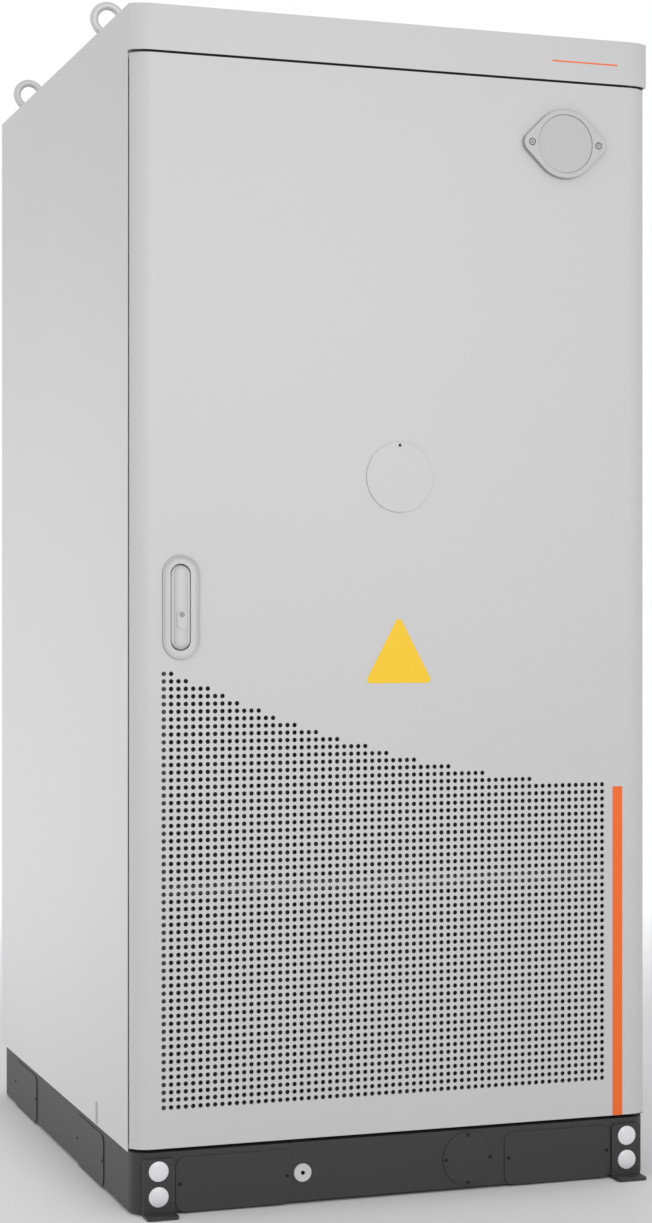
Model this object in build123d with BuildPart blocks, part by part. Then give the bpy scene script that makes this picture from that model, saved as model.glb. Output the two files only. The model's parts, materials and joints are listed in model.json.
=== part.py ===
from build123d import *
from math import cos, radians, sin, sqrt
import os

# Battery cabinet in millimetres: X to the right, Y to the back, Z up.
# The origin lies on the floor under the middle of the cabinet.

# Overall size of the body
width = 1100.0
depth = 1310.0
height = 2345.0

# Sheet and plate thicknesses
skin = 2.0
frame_wall = 3.0
seal_gap = 0.3
running_gap = 0.05
overcut = 1.0

# Front line: the flat front turns into an arc near each side
corner_run = 45.0
door_seam = 31.0
fascia_crease = 15.0
fascia_gap = 5.1
fascia_height = 89.4

# Door leaf
door_bottom = 129.0
door_gap = 3.0
door_edge_radius = 4.0
door_side_flange = 60.0
door_end_flange = 75.0
panel_bottom = 122.0

# Perforated intake
hole_diameter = 8.5
hole_pitch = 14.74
hole_first_z = 208.0
hole_margin_left = 65.0
hole_margin_right = 106.0
field_right_height = 616.87
field_rise = 241.0
field_power = 1.8
slot_share = 0.886

# Plinth
plinth_bottom = 6.0
plinth_front_inset = 1.0
plinth_side_inset = 4.0
plinth_corner = 40.0
plinth_flange = 60.0
cover_thickness = 2.5
cover_bottom = 3.5
cover_top = 110.0
cover_corner = 20.0
front_cover_width = 235.0
cover_foot_gap = 2.0
side_cover_front = (242.7, 488.6)
side_cover_rear = (403.0, 154.0)
pocket_margin = 22.0
cover_screw_inset = 9.0
cover_screw_z = 58.5
cover_screw_head = 7.5
cover_screw_height = 1.0
screw_head_sides = 8
screw_diameter = 5.0
screw_head = 11.0
screw_socket = 2.0
access_cover_gap = 79.5
access_z = 64.0
access_radius = 54.0
access_screw_radius = 48.0
earth_cover_gap = 23.1
earth_z = 62.0
earth_diameter = 36.0
earth_projection = 4.0
earth_thread_radius = 3.4
earth_thread_depth = 14.0

# Angle feet
foot_inset = 23.0
foot_width = 63.5
foot_top = 111.0
foot_reach = 37.0
foot_thickness = 6.0
foot_corner = 8.0
foot_slot_length = 16.0
foot_slot_width = 12.0
foot_slot_setback = 19.0
plug_diameter = 39.0
plug_height = 5.0
plug_bevel = 3.5
plug_inset = 33.0
plug_levels = (37.5, 87.0)

# Side panel slit
slit_setback = 293.0
slit_bottom = 125.0
slit_height = 46.0
slit_width = 2.0

# Rear outlet
outlet_side_margin = 150.0
outlet_middle = 80.0
outlet_slot = 12.0
outlet_pitch = 34.0
outlet_rows = 14
outlet_bottom = 210.0

# Frame inside the sheets
post_size = 40.0
beam_width = 62.0
beam_height = 40.0
rail_seat = 20.0
rail_leg = 30.0
rail_wall = 4.0
shelf_gap = 20.0

# Door opening: a gutter round the leaf and a lip under the gasket
gutter_depth = 20.0
lip_inset = 45.0
lip_depth = 18.0
gasket_width = 10.0

# Pivot hinges
hinge_inset = 24.0
hinge_setback = 18.0
pin_diameter = 10.0
pin_reach = 22.0
bush_diameter = 15.0
bush_length = 24.0
bracket_radius = 9.0
top_bracket = 3.0
bottom_bracket = 4.0
bracket_tab = 60.0
top_strap_gap = 1.0
bottom_strap_gap = 1.5

# Lifting eyes
eye_ring_outer = 78.0
eye_wire = 16.0
eye_rise = 44.0
eye_collar = 40.0
eye_inset = 36.0
eye_front_setback = 350.0
eye_rear_setback = 150.0

# Flush handle
handle_inset = 100.0
handle_z = 1177.0
bezel_width = 77.0
bezel_length = 204.0
bezel_height = 5.0
bezel_slope = 55.0
bezel_bevel = 2.0
recess_width = 40.4
recess_length = 169.5
recess_depth = 20.0
recess_wall = 4.8
recess_floor = 3.0
lever_width = 28.4
lever_length = 159.0
lever_thickness = 10.0
lever_crown = 4.0
lever_plate = 4.0
lever_plate_gap = 1.2
lever_pivot_drop = 17.0
lever_pin = 6.0
lever_pin_inset = 1.0
lever_boss = 12.0
dust_width = 18.4
dust_length = 36.0
dust_thickness = 2.0
dust_rivet_z = 1163.0
dust_rivet = 5.0
dust_rivet_head = 10.0
rivet_rim = 1.5
key_z = 1147.0
key_diameter = 14.0
key_length = 17.5
keyway_width = 2.0
keyway_height = 8.0
keyway_depth = 3.0

# Lock behind the handle
case_width = 60.0
case_length = 196.0
case_depth = 13.0
cam_z = 1215.0
cam_hub = 16.0
cam_diameter = 40.0
cam_thickness = 4.0
cam_throw = 13.0
cam_pin = 6.0
rod_width = 19.0
rod_thickness = 4.0
rod_offset = 11.1
rod_slot_length = 11.0
rod_slot_height = 7.6
rod_end_clearance = 12.0
guide_height = 24.0
guide_width = 36.0
guide_wall = 5.0
keeper_length = 28.0
keeper_cheek = 8.0
keeper_clearance = 1.0

# Stop button
stop_z = 1437.0
stop_cover_diameter = 140.0
stop_cover_thickness = 2.0
stop_cover_gap = 1.0
stop_rivet_rise = 64.0
stop_rivet = 5.0
stop_rivet_head = 9.0
cup_mouth = 90.0
cup_wall = 1.5
cup_flange = 104.0
cup_depth = 30.0
head_diameter = 40.0
head_thickness = 12.0
head_setback = 7.0
stem_diameter = 10.0
stem_socket = 6.0
stop_block = 34.0
stop_block_depth = 10.0
stop_travel = 5.0

# Lamp
lamp_inset = 193.0
lamp_drop = 126.5
lamp_body_diameter = 141.0
lamp_ear_diameter = 44.0
lamp_ear_x = 69.0
lamp_bezel_depth = 3.0
lamp_bezel_bevel = 1.0
lamp_spacer = 9.0
lamp_spacer_inset = 0.8
lamp_lens_diameter = 120.0
lamp_lens_thickness = 1.5
lamp_lens_setback = 1.5
lamp_hole = 112.0
lamp_screw_x = 73.5
lamp_counterbore = 15.0
lamp_housing_depth = 22.0

# Stiffeners and filter behind the door skin
stiffener_top_drop = 330.0
stiffener_stop_gap = 20.0
stiffener_inset = 350.0
stiffener_end_inset = 50.0
stiffener_width = 50.0
stiffener_depth = 22.0
stiffener_wall = 1.5
filter_edge_gap = 5.0
filter_margin = 20.0
filter_bar = 18.0
filter_depth = 13.0
mat_thickness = 8.0

# Battery packs
pack_shelf_gap = 15.0
pack_stack_gap = 10.0
pack_side_space = 103.0
pack_front_setback = 110.0
pack_rear_space = 70.0
pack_lid_height = 15.0
pack_lid_inset = 2.0
pack_lid_slope = 20.0
pack_wall = 4.0
cell_rows = 4
cells_per_row = 13
cell_height = 207.0
cell_headroom = 14.0
cell_side_space = 22.0
cell_row_gap = 21.0
cell_end_space = 186.0
power_plug_inset = 75.0
power_plug_spacing = 80.0
power_plug_size = (34.0, 26.0, 40.0)
cable_diameter = 14.0
cable_hole = 24.0

# Units in the lower compartment
hv_gap = 15.0
hv_overhang = 20.0
hv_depth = 780.0
hv_height = 150.0
isolator_x = 0.0
isolator_base = 60.0
isolator_base_depth = 8.0
isolator_diameter = 44.0
isolator_grip = 54.0
isolator_shaft = 10.0
isolator_disc = 10.0
isolator_bar = 12.0
isolator_reach = 18.0
unit_height = 630.0
unit_inner = 20.0
unit_side_space = 28.0
converter_depth = 700.0
chiller_depth = 800.0
converter_fan_margin = 40.0
converter_fan_gap = 30.0
converter_fan_drop = 145.0
chiller_fan_margin = 90.0
chiller_fan_drop = 255.0
fan_clearance = 5.0
fan_tunnel = 70.0
fan_shaft = 12.0
fan_blades = 5
fan_hub_share = 0.3
fan_blade_pitch = 28.0
fan_blade_thickness = 3.0
fan_bar = 20.0
case_wall = 3.0
fin_count = 8
fin_thickness = 2.0
fin_setback = 90.0
contactor_size = (100.0, 120.0, 80.0)
contactor_x = 200.0
guard_bar = 6.0
guard_pitch = 60.0
pipe_width = 30.0
pipe_reach = 50.0
pipe_setbacks = (135.0, 185.0)
pipe_hole = 40.0
pipe_rise = 195.0
stub_diameter = 20.0
stub_rises = (60.0, 130.0)
canister_diameter = 80.0
canister_length = 200.0
canister_drop = 53.0
canister_setback = 140.0

# Places worked out from the sizes above
half_width = width / 2
front_y = -depth / 2
back_y = depth / 2
inner_x = half_width - skin
flat_x = half_width - corner_run
seam_y = front_y + door_seam
door_back = seam_y - door_gap
skin_back = front_y + skin
fascia_bottom = height - fascia_height
door_top = fascia_bottom - fascia_gap
door_height = door_top - door_bottom
roof_bottom = height - skin
crease_y = front_y + fascia_crease
frame_front = seam_y + gutter_depth
frame_back = frame_front + frame_wall
plinth_x = half_width - plinth_side_inset
plinth_y = depth / 2 - plinth_front_inset
rear_inner = back_y - skin
post_inner = inner_x - post_size
corner_radius = (corner_run ** 2 + door_seam ** 2) / (2 * door_seam)
door_edge_x = flat_x + sqrt(corner_radius ** 2 - (front_y + corner_radius - door_back) ** 2)
foot_inner = half_width - foot_inset - foot_width
front_cover_outer = foot_inner - cover_foot_gap
front_cover_inner = front_cover_outer - front_cover_width
earth_x = earth_cover_gap - front_cover_inner
access_x = front_cover_inner - access_cover_gap
hole_first_x = hole_margin_left - half_width
hole_columns = int((width - hole_margin_left - hole_margin_right) / hole_pitch) + 1
hole_last_x = hole_first_x + (hole_columns - 1) * hole_pitch
handle_x = handle_inset - half_width
lamp_x = half_width - lamp_inset
lamp_z = door_top - lamp_drop
lip_x = half_width - lip_inset
lip_bottom = door_bottom + lip_inset
lip_top = door_top - lip_inset
lip_front = seam_y + gutter_depth - lip_depth
hinge_x = half_width - hinge_inset
hinge_y = front_y + hinge_setback
pack_front = front_y + pack_front_setback
recess_y = front_y + recess_depth
case_front = recess_y + recess_floor
case_back = case_front + case_depth
rod_front = case_back + cam_thickness + 2 * seal_gap
bottom_strap = door_bottom - bottom_strap_gap - bottom_bracket
top_strap = fascia_bottom - top_strap_gap - top_bracket
beam_bottom = roof_bottom - beam_height
unit_bottom = panel_bottom + frame_wall
unit_top = unit_bottom + unit_height
unit_outer = post_inner - unit_side_space
hv_bottom = unit_top + hv_gap
shelf_z = hv_bottom + hv_height + shelf_gap
pack_first_z = shelf_z + pack_shelf_gap
pack_width = 2 * (post_inner - pack_side_space)
pack_back = back_y - pack_rear_space
pack_tray_height = pack_wall + cell_height + cell_headroom
pack_pitch = pack_tray_height + pack_lid_height + pack_stack_gap
canister_z = beam_bottom - canister_drop
pack_count = int((canister_z - canister_diameter / 2 - pack_first_z) / pack_pitch)
pack_levels = [pack_first_z + i * pack_pitch for i in range(pack_count)]


def front_plane(y):
    """Upright plane at depth y that looks to the front, with X across and Z up."""
    return Plane.XZ.offset(-y)


def level(z):
    """Horizontal plane at height z."""
    return Plane.XY.offset(z)


def around(middle, size):
    """Range of the given size with its middle at the given place."""
    return middle - size / 2, middle + size / 2


def slab(x, y, z, mode=Mode.ADD):
    """Rectangular plate or block that spans the three ranges."""
    with Locations(((x[0] + x[1]) / 2, (y[0] + y[1]) / 2, (z[0] + z[1]) / 2)):
        Box(x[1] - x[0], y[1] - y[0], z[1] - z[0], mode=mode)


def rod_between(x, z, y, diameter, mode=Mode.ADD):
    """Round bar or bore along Y that spans the range y."""
    with Locations(Location((x, (y[0] + y[1]) / 2, z), (90, 0, 0))):
        Cylinder(diameter / 2, y[1] - y[0], mode=mode)


def post_between(x, y, z, diameter, mode=Mode.ADD):
    """Round bar or bore along Z that spans the range z."""
    with Locations((x, y, (z[0] + z[1]) / 2)):
        Cylinder(diameter / 2, z[1] - z[0], mode=mode)


def pin_between(x, y, z, diameter, mode=Mode.ADD):
    """Round bar or bore along X that spans the range x."""
    with Locations(Location(((x[0] + x[1]) / 2, y, z), (0, 90, 0))):
        Cylinder(diameter / 2, x[1] - x[0], mode=mode)


def bowed_front(edge_x, edge_y):
    """Plan of the front band: flat in the middle with an arc down to each edge."""
    with BuildSketch() as sketch:
        with BuildLine():
            Line((-flat_x, front_y), (flat_x, front_y))
            TangentArc((flat_x, front_y), (edge_x, edge_y), tangent=(1, 0))
            Line((edge_x, edge_y), (-edge_x, edge_y))
            TangentArc((-flat_x, front_y), (-edge_x, edge_y), tangent=(-1, 0))
        make_face()
    return sketch.sketch


def save(piece, name):
    """Label the finished piece and write its file."""
    piece.part.label = name
    export_step(piece.part, f"parts/{name}.step")


os.makedirs("parts", exist_ok=True)

# Plinth: a folded ring with pockets behind the covers
front_cover_x = (front_cover_outer + front_cover_inner) / 2
side_covers = [
    tuple(front_y + setback for setback in side_cover_front),
    tuple(back_y - setback for setback in side_cover_rear),
]
cover_height = cover_top - cover_bottom
pocket_bottom = plinth_bottom + frame_wall + pocket_margin / 2
pocket_height = cover_top - pocket_margin - pocket_bottom
with BuildPart() as plinth:
    with BuildSketch(level(plinth_bottom)):
        RectangleRounded(2 * plinth_x, 2 * plinth_y, plinth_corner)
    extrude(amount=panel_bottom - plinth_bottom)
    with BuildSketch(level(plinth_bottom)):
        RectangleRounded(2 * (plinth_x - frame_wall), 2 * (plinth_y - frame_wall), plinth_corner - frame_wall)
    extrude(amount=panel_bottom - plinth_bottom - frame_wall, mode=Mode.SUBTRACT)
    with BuildSketch(level(panel_bottom)):
        Rectangle(2 * (plinth_x - plinth_flange), 2 * (plinth_y - plinth_flange))
    extrude(amount=-frame_wall, mode=Mode.SUBTRACT)
    for facing in (-1, 1):
        for side in (-1, 1):
            slab(
                around(side * front_cover_x, front_cover_width - 2 * pocket_margin),
                around(facing * (plinth_y - frame_wall / 2), 2 * frame_wall),
                (pocket_bottom, pocket_bottom + pocket_height),
                Mode.SUBTRACT,
            )
    through = (-plinth_y - overcut, -plinth_y + frame_wall + overcut)
    rod_between(earth_x, earth_z, through, earth_diameter / 2, Mode.SUBTRACT)
    rod_between(access_x, access_z, through, access_radius * 1.5, Mode.SUBTRACT)
save(plinth, "plinth_frame")

# Covers over the pockets and the round access hole
with BuildPart() as covers:
    for facing in (-1, 1):
        with BuildSketch(front_plane(facing * plinth_y)):
            for side in (-1, 1):
                with Locations((side * front_cover_x, (cover_bottom + cover_top) / 2)):
                    RectangleRounded(front_cover_width, cover_height, cover_corner)
        extrude(amount=-facing * cover_thickness)
    for side in (-1, 1):
        with BuildSketch(Plane.YZ.offset(side * plinth_x)):
            for start, end in side_covers:
                with Locations(((start + end) / 2, (cover_bottom + cover_top) / 2)):
                    RectangleRounded(end - start, cover_height, cover_corner)
        extrude(amount=side * cover_thickness)
    with BuildSketch(front_plane(-plinth_y)):
        with Locations((access_x, access_z)):
            Circle(access_radius)
    extrude(amount=cover_thickness)
save(covers, "plinth_covers")

# Low screw heads on the plinth covers
with BuildPart() as plinth_screws:
    for facing in (-1, 1):
        spots = [(side * front_cover_x + end * (front_cover_width / 2 - cover_screw_inset), cover_screw_z)
                 for side in (-1, 1) for end in (-1, 1)]
        if facing < 0:
            spots += [(access_x + i * access_screw_radius, access_z + j * access_screw_radius)
                      for i, j in ((-1, 0), (1, 0), (0, -1), (0, 1))]
        with BuildSketch(front_plane(facing * (plinth_y + cover_thickness))):
            with Locations(*spots):
                RegularPolygon(cover_screw_head / 2, screw_head_sides)
        extrude(amount=-facing * cover_screw_height)
    for side in (-1, 1):
        spots = [(end, cover_screw_z) for start, stop in side_covers
                 for end in (start + cover_screw_inset, stop - cover_screw_inset)]
        with BuildSketch(Plane.YZ.offset(side * (plinth_x + cover_thickness))):
            with Locations(*spots):
                RegularPolygon(cover_screw_head / 2, screw_head_sides)
        extrude(amount=side * cover_screw_height)
save(plinth_screws, "plinth_screws")

# Earth boss: a turned disc with a blind thread
earth_front = -plinth_y - earth_projection
with BuildPart() as earth_boss:
    rod_between(earth_x, earth_z, (earth_front, -plinth_y), earth_diameter)
    rod_between(earth_x, earth_z, (-plinth_y, -plinth_y + earth_thread_depth),
                earth_diameter / 2 - 2 * running_gap)
    rod_between(earth_x, earth_z, (earth_front, earth_front + earth_thread_depth), 2 * earth_thread_radius,
                Mode.SUBTRACT)
save(earth_boss, "earth_boss")

# Angle feet: an upright plate on the plinth and a slotted flange on the floor
foot_x = foot_inner + foot_width / 2
foot_end = plinth_y + foot_thickness + foot_reach
with BuildPart() as feet:
    for facing in (-1, 1):
        for side in (-1, 1):
            with BuildSketch(front_plane(facing * plinth_y)) as upright:
                with Locations((side * foot_x, foot_top / 2)):
                    Rectangle(foot_width, foot_top)
                fillet(upright.vertices().group_by(Axis.Z)[-1], foot_corner)
            extrude(amount=-facing * foot_thickness)
            with BuildSketch(level(0)) as flange:
                with Locations((side * foot_x, facing * (plinth_y + (foot_thickness + foot_reach) / 2))):
                    Rectangle(foot_width, foot_thickness + foot_reach)
                fillet(flange.vertices().group_by(Axis.Y)[-1 if facing > 0 else 0], foot_corner)
                with Locations((side * foot_x, facing * (foot_end - foot_slot_setback))):
                    SlotOverall(foot_slot_length, foot_slot_width, mode=Mode.SUBTRACT)
            extrude(amount=foot_thickness)
save(feet, "foot_brackets")

# White tapered caps on the feet
plug_x = foot_inner + plug_inset
plug_middle = plinth_y + foot_thickness + plug_height / 2
with BuildPart() as plugs:
    for facing in (-1, 1):
        for side in (-1, 1):
            for plug_z in plug_levels:
                with Locations(Location((side * plug_x, facing * plug_middle, plug_z), (-90 * facing, 0, 0))):
                    Cone(plug_diameter / 2, plug_diameter / 2 - plug_bevel, plug_height)
save(plugs, "foot_plugs")

# Floor plate on the plinth flange
with BuildPart() as floor_plate:
    slab((-inner_x + frame_wall, inner_x - frame_wall), (frame_back, rear_inner - frame_wall),
         (panel_bottom, panel_bottom + frame_wall))
    with Locations((0, rear_inner - 2 * plinth_flange, panel_bottom)):
        with GridLocations(pipe_hole * 3, 1, 4, 1):
            Box(2 * pipe_hole, 2 * pipe_hole, 3 * frame_wall, mode=Mode.SUBTRACT)
save(floor_plate, "floor_plate")

# Side panels with the nose beside the fascia and the slit near the bottom
slit_y = front_y + slit_setback
for side, name in ((-1, "side_panel_left"), (1, "side_panel_right")):
    with BuildPart() as side_panel:
        with BuildSketch(Plane.YZ.offset(side * inner_x)):
            with Locations(((seam_y + back_y) / 2, (panel_bottom + roof_bottom) / 2)):
                Rectangle(back_y - seam_y, roof_bottom - panel_bottom)
            with Locations(((crease_y + seam_y) / 2, (fascia_bottom + roof_bottom) / 2)):
                Rectangle(seam_y - crease_y, roof_bottom - fascia_bottom)
            with Locations((slit_y, slit_bottom + slit_height / 2)):
                Rectangle(slit_width, slit_height, mode=Mode.SUBTRACT)
        extrude(amount=side * skin)
    save(side_panel, name)

# Rear panel with two banks of outlet slots
outlet_height = (outlet_rows - 1) * outlet_pitch
outlet_outer = half_width - outlet_side_margin
outlet_x = (outlet_middle + outlet_outer) / 2
with BuildPart() as rear_panel:
    slab((-inner_x, inner_x), (rear_inner, back_y), (panel_bottom, roof_bottom))
    with BuildSketch(front_plane(back_y)):
        for side in (-1, 1):
            with Locations((side * outlet_x, outlet_bottom + outlet_height / 2)):
                with GridLocations(1, outlet_pitch, 1, outlet_rows):
                    Rectangle(outlet_outer - outlet_middle, outlet_slot)
    extrude(amount=skin, mode=Mode.SUBTRACT)
save(rear_panel, "rear_panel")

# Roof over the whole plan
with BuildPart() as roof:
    with BuildSketch(level(roof_bottom)):
        add(bowed_front(half_width, crease_y))
        with Locations((0, (crease_y + back_y) / 2)):
            Rectangle(width, back_y - crease_y)
    extrude(amount=skin)
save(roof, "roof_panel")

# Fascia: a hood over the door with the same bowed plan
with BuildPart() as fascia:
    with BuildSketch(level(fascia_bottom)):
        add(bowed_front(half_width, crease_y))
        with Locations((0, (crease_y + frame_front) / 2)):
            Rectangle(2 * inner_x, frame_front - crease_y)
    extrude(amount=roof_bottom - fascia_bottom)
    with BuildSketch(level(fascia_bottom + skin)):
        add(offset(bowed_front(half_width, crease_y), -skin, kind=Kind.INTERSECTION, mode=Mode.PRIVATE))
        with Locations((0, (crease_y - 2 * skin + frame_front) / 2)):
            Rectangle(2 * (inner_x - skin), frame_front - crease_y + 2 * skin)
    extrude(amount=roof_bottom - fascia_bottom, mode=Mode.SUBTRACT)
save(fascia, "fascia")

# Posts and beams: square tubes that carry the lifting eyes
post_spans = [(frame_back, frame_back + post_size), (rear_inner - post_size, rear_inner)]
with BuildPart() as frame_tubes:
    for side in (-1, 1):
        post_x = side * (inner_x - post_size / 2)
        for start, end in post_spans:
            with BuildSketch(level(panel_bottom + frame_wall)):
                with Locations((post_x, (start + end) / 2)):
                    Rectangle(post_size, post_size)
                    Rectangle(post_size - 2 * frame_wall, post_size - 2 * frame_wall, mode=Mode.SUBTRACT)
            extrude(amount=beam_bottom - panel_bottom - frame_wall)
        beam_x = side * (inner_x - beam_width / 2)
        slab(around(beam_x, beam_width), (frame_back, rear_inner), (beam_bottom, roof_bottom))
        slab((beam_x - beam_width / 2 + frame_wall, beam_x + beam_width / 2 - frame_wall),
             (frame_back + frame_wall, rear_inner - frame_wall),
             (beam_bottom + frame_wall, roof_bottom - frame_wall), Mode.SUBTRACT)
    for start, end in post_spans:
        slab((beam_width - inner_x, inner_x - beam_width), (start, end), (beam_bottom, roof_bottom))
save(frame_tubes, "frame_tubes")

# Door frame: the gutter plate with the lip that meets the gasket
with BuildPart() as door_frame:
    with BuildSketch(front_plane(frame_back)):
        with Locations((0, (panel_bottom + roof_bottom) / 2)):
            Rectangle(2 * inner_x, roof_bottom - panel_bottom)
    extrude(amount=frame_wall)
    with BuildSketch(front_plane(frame_front)):
        with Locations((0, (lip_bottom + lip_top) / 2)):
            Rectangle(2 * lip_x, lip_top - lip_bottom)
    extrude(amount=lip_depth)
    with BuildSketch(front_plane(frame_back)):
        with Locations((0, (lip_bottom + lip_top) / 2)):
            Rectangle(2 * (lip_x - frame_wall), lip_top - lip_bottom - 2 * frame_wall)
    extrude(amount=frame_wall + lip_depth, mode=Mode.SUBTRACT)
save(door_frame, "door_frame")

# Lifting eyes: a ring with a six-sided section on a round collar
ring_radius = (eye_ring_outer - eye_wire) / 2
eye_x = half_width - eye_inset
eye_rows = (front_y + eye_front_setback, back_y - eye_rear_setback)
eye_places = [(side * eye_x, y) for side in (-1, 1) for y in eye_rows]
with BuildPart() as eyes:
    for x, y in eye_places:
        post_between(x, y, (height, height + eye_wire / 2), eye_collar)
        with BuildSketch(Plane((x, y, height + eye_rise), x_dir=(1, 0, 0), z_dir=(0, 0, 1))):
            with Locations((ring_radius, 0)):
                RegularPolygon(eye_wire / 2, 6, rotation=30)
        revolve(axis=Axis((x, y, height + eye_rise), (0, 1, 0)))
save(eyes, "lifting_eyes")

# Hinge brackets: a strap under and over the leaf with a tab on the door frame
with BuildPart() as brackets:
    for strap_z, thickness, tab in ((bottom_strap, bottom_bracket, 1), (top_strap, top_bracket, -1)):
        with BuildSketch(level(strap_z)):
            with Locations((hinge_x, hinge_y)):
                Circle(bracket_radius)
            with Locations((hinge_x, (hinge_y + frame_front) / 2)):
                Rectangle(2 * bracket_radius, frame_front - hinge_y)
            with Locations((hinge_x, hinge_y)):
                Circle(pin_diameter / 2, mode=Mode.SUBTRACT)
        extrude(amount=thickness)
        ends = sorted((strap_z + (thickness if tab < 0 else 0), strap_z + tab * bracket_tab))
        slab((hinge_x - bracket_radius, inner_x - frame_wall), (frame_front - frame_wall, frame_front), ends)
save(brackets, "hinge_brackets")

# Hinge pins
with BuildPart() as hinge_pins:
    post_between(hinge_x, hinge_y, (bottom_strap, door_bottom + pin_reach), pin_diameter)
    post_between(hinge_x, hinge_y, (door_top - pin_reach, top_strap + top_bracket), pin_diameter)
save(hinge_pins, "hinge_pins")

# Bushes in the leaf, each with a plate on the folded edge
bush_ends = (
    (bottom_strap + bottom_bracket + seal_gap, door_bottom + skin + bush_length, door_bottom + skin),
    (door_top - skin - bush_length, top_strap - seal_gap, door_top - skin - bush_length),
)
with BuildPart() as bushes:
    for low, high, plate in bush_ends:
        post_between(hinge_x, hinge_y, (low, high), bush_diameter)
        slab(around(hinge_x, bush_diameter), (hinge_y, door_back - skin),
             (plate, plate + bush_length))
        post_between(hinge_x, hinge_y, (low, high), pin_diameter + 2 * running_gap, Mode.SUBTRACT)
save(bushes, "hinge_bushes")

# Door skin: a folded pan with the perforated intake
slot_width = hole_diameter * slot_share
row_counts = [
    round((field_right_height + field_rise * (1 - i / (hole_columns - 1)) ** field_power) / hole_pitch)
    for i in range(hole_columns)
]
with BuildPart() as door_skin:
    with BuildSketch(level(door_bottom)):
        add(bowed_front(door_edge_x, door_back))
    extrude(amount=door_height)
    fillet(door_skin.edges().filter_by(Axis.Z).group_by(Axis.Y)[-1], door_edge_radius)
    with BuildSketch(level(door_bottom + skin)):
        add(offset(bowed_front(door_edge_x, door_back), -skin, kind=Kind.INTERSECTION, mode=Mode.PRIVATE))
    extrude(amount=door_height - 2 * skin, mode=Mode.SUBTRACT)
    slab(around(0, width - 2 * door_side_flange), (door_back - 2 * skin, door_back + overcut),
         (door_bottom + door_end_flange, door_top - door_end_flange), Mode.SUBTRACT)
    with BuildSketch(front_plane(skin_back)):
        with Locations((handle_x, handle_z)):
            SlotOverall(recess_length + 2 * recess_wall + overcut, recess_width + 2 * recess_wall + overcut,
                        rotation=90)
        with Locations((0, stop_z)):
            Circle(cup_mouth / 2)
        with Locations((0, stop_z + stop_rivet_rise)):
            Circle(stop_rivet / 2)
        with Locations((lamp_x, lamp_z)):
            Circle(lamp_hole / 2)
    extrude(amount=skin, mode=Mode.SUBTRACT)
    with BuildSketch(front_plane(skin_back)):
        for column, rows in enumerate(row_counts):
            span = (rows - 1) * hole_pitch
            with Locations((hole_first_x + column * hole_pitch, hole_first_z + span / 2)):
                Rectangle(slot_width, span + slot_width)
    extrude(amount=skin, mode=Mode.SUBTRACT)
    for z in (door_bottom + skin / 2, door_top - skin / 2):
        post_between(hinge_x, hinge_y, (z - skin, z + skin), bush_diameter, Mode.SUBTRACT)
save(door_skin, "door_skin")

# Door stiffeners: channels open to the skin
channel_back = skin_back + stiffener_depth
stiffener_levels = (
    stop_z - cup_flange / 2 - stiffener_stop_gap - stiffener_width / 2,
    door_top - stiffener_top_drop,
)
stiffener_x = half_width - stiffener_inset
stiffener_end = half_width - stiffener_end_inset
with BuildPart() as stiffeners:
    low, high = stiffener_levels
    half = stiffener_width / 2
    rest = stiffener_wall
    for z in stiffener_levels:
        slab((-stiffener_end, stiffener_end), (skin_back, channel_back), (z - half, z + half))
        slab((-stiffener_end - overcut, stiffener_end + overcut), (skin_back, channel_back - rest),
             (z - half + rest, z + half - rest), Mode.SUBTRACT)
    for x in (-stiffener_x, stiffener_x):
        for start, end in ((low + half, high - half), (high + half, door_top - door_end_flange)):
            slab((x - half, x + half), (skin_back, channel_back), (start, end))
            slab((x - half + rest, x + half - rest), (skin_back, channel_back - rest), (start, end),
                 Mode.SUBTRACT)
save(stiffeners, "door_stiffeners")

# Gasket round the leaf
gasket_x = lip_x - frame_wall / 2
with BuildPart() as gasket:
    with BuildSketch(front_plane(door_back)):
        with Locations((0, (lip_bottom + lip_top) / 2)):
            Rectangle(2 * gasket_x + gasket_width, lip_top - lip_bottom - frame_wall + gasket_width)
            Rectangle(2 * gasket_x - gasket_width, lip_top - lip_bottom - frame_wall - gasket_width,
                      mode=Mode.SUBTRACT)
    extrude(amount=-(lip_front - seal_gap - door_back))
save(gasket, "door_gasket")

# Filter frame and mat behind the perforated field
filter_back = skin_back + filter_depth
filter_left = filter_edge_gap - flat_x
filter_right = hole_last_x + filter_margin
filter_bottom = hole_first_z - filter_margin
filter_top = hole_first_z + (max(row_counts) - 1) * hole_pitch + filter_margin
filter_mid = (filter_bottom + filter_top) / 2
filter_windows = (
    (filter_bottom + filter_bar, filter_mid - filter_bar / 2),
    (filter_mid + filter_bar / 2, filter_top - filter_bar),
)
with BuildPart() as filter_frame:
    slab((filter_left, filter_right), (skin_back, filter_back), (filter_bottom, filter_top))
    for window in filter_windows:
        slab((filter_left + filter_bar, filter_right - filter_bar),
             (skin_back - overcut, filter_back + overcut), window, Mode.SUBTRACT)
save(filter_frame, "filter_frame")
with BuildPart() as mats:
    for window in filter_windows:
        slab((filter_left + filter_bar, filter_right - filter_bar),
             (skin_back + seal_gap, skin_back + seal_gap + mat_thickness), window)
save(mats, "filter_mat")

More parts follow.
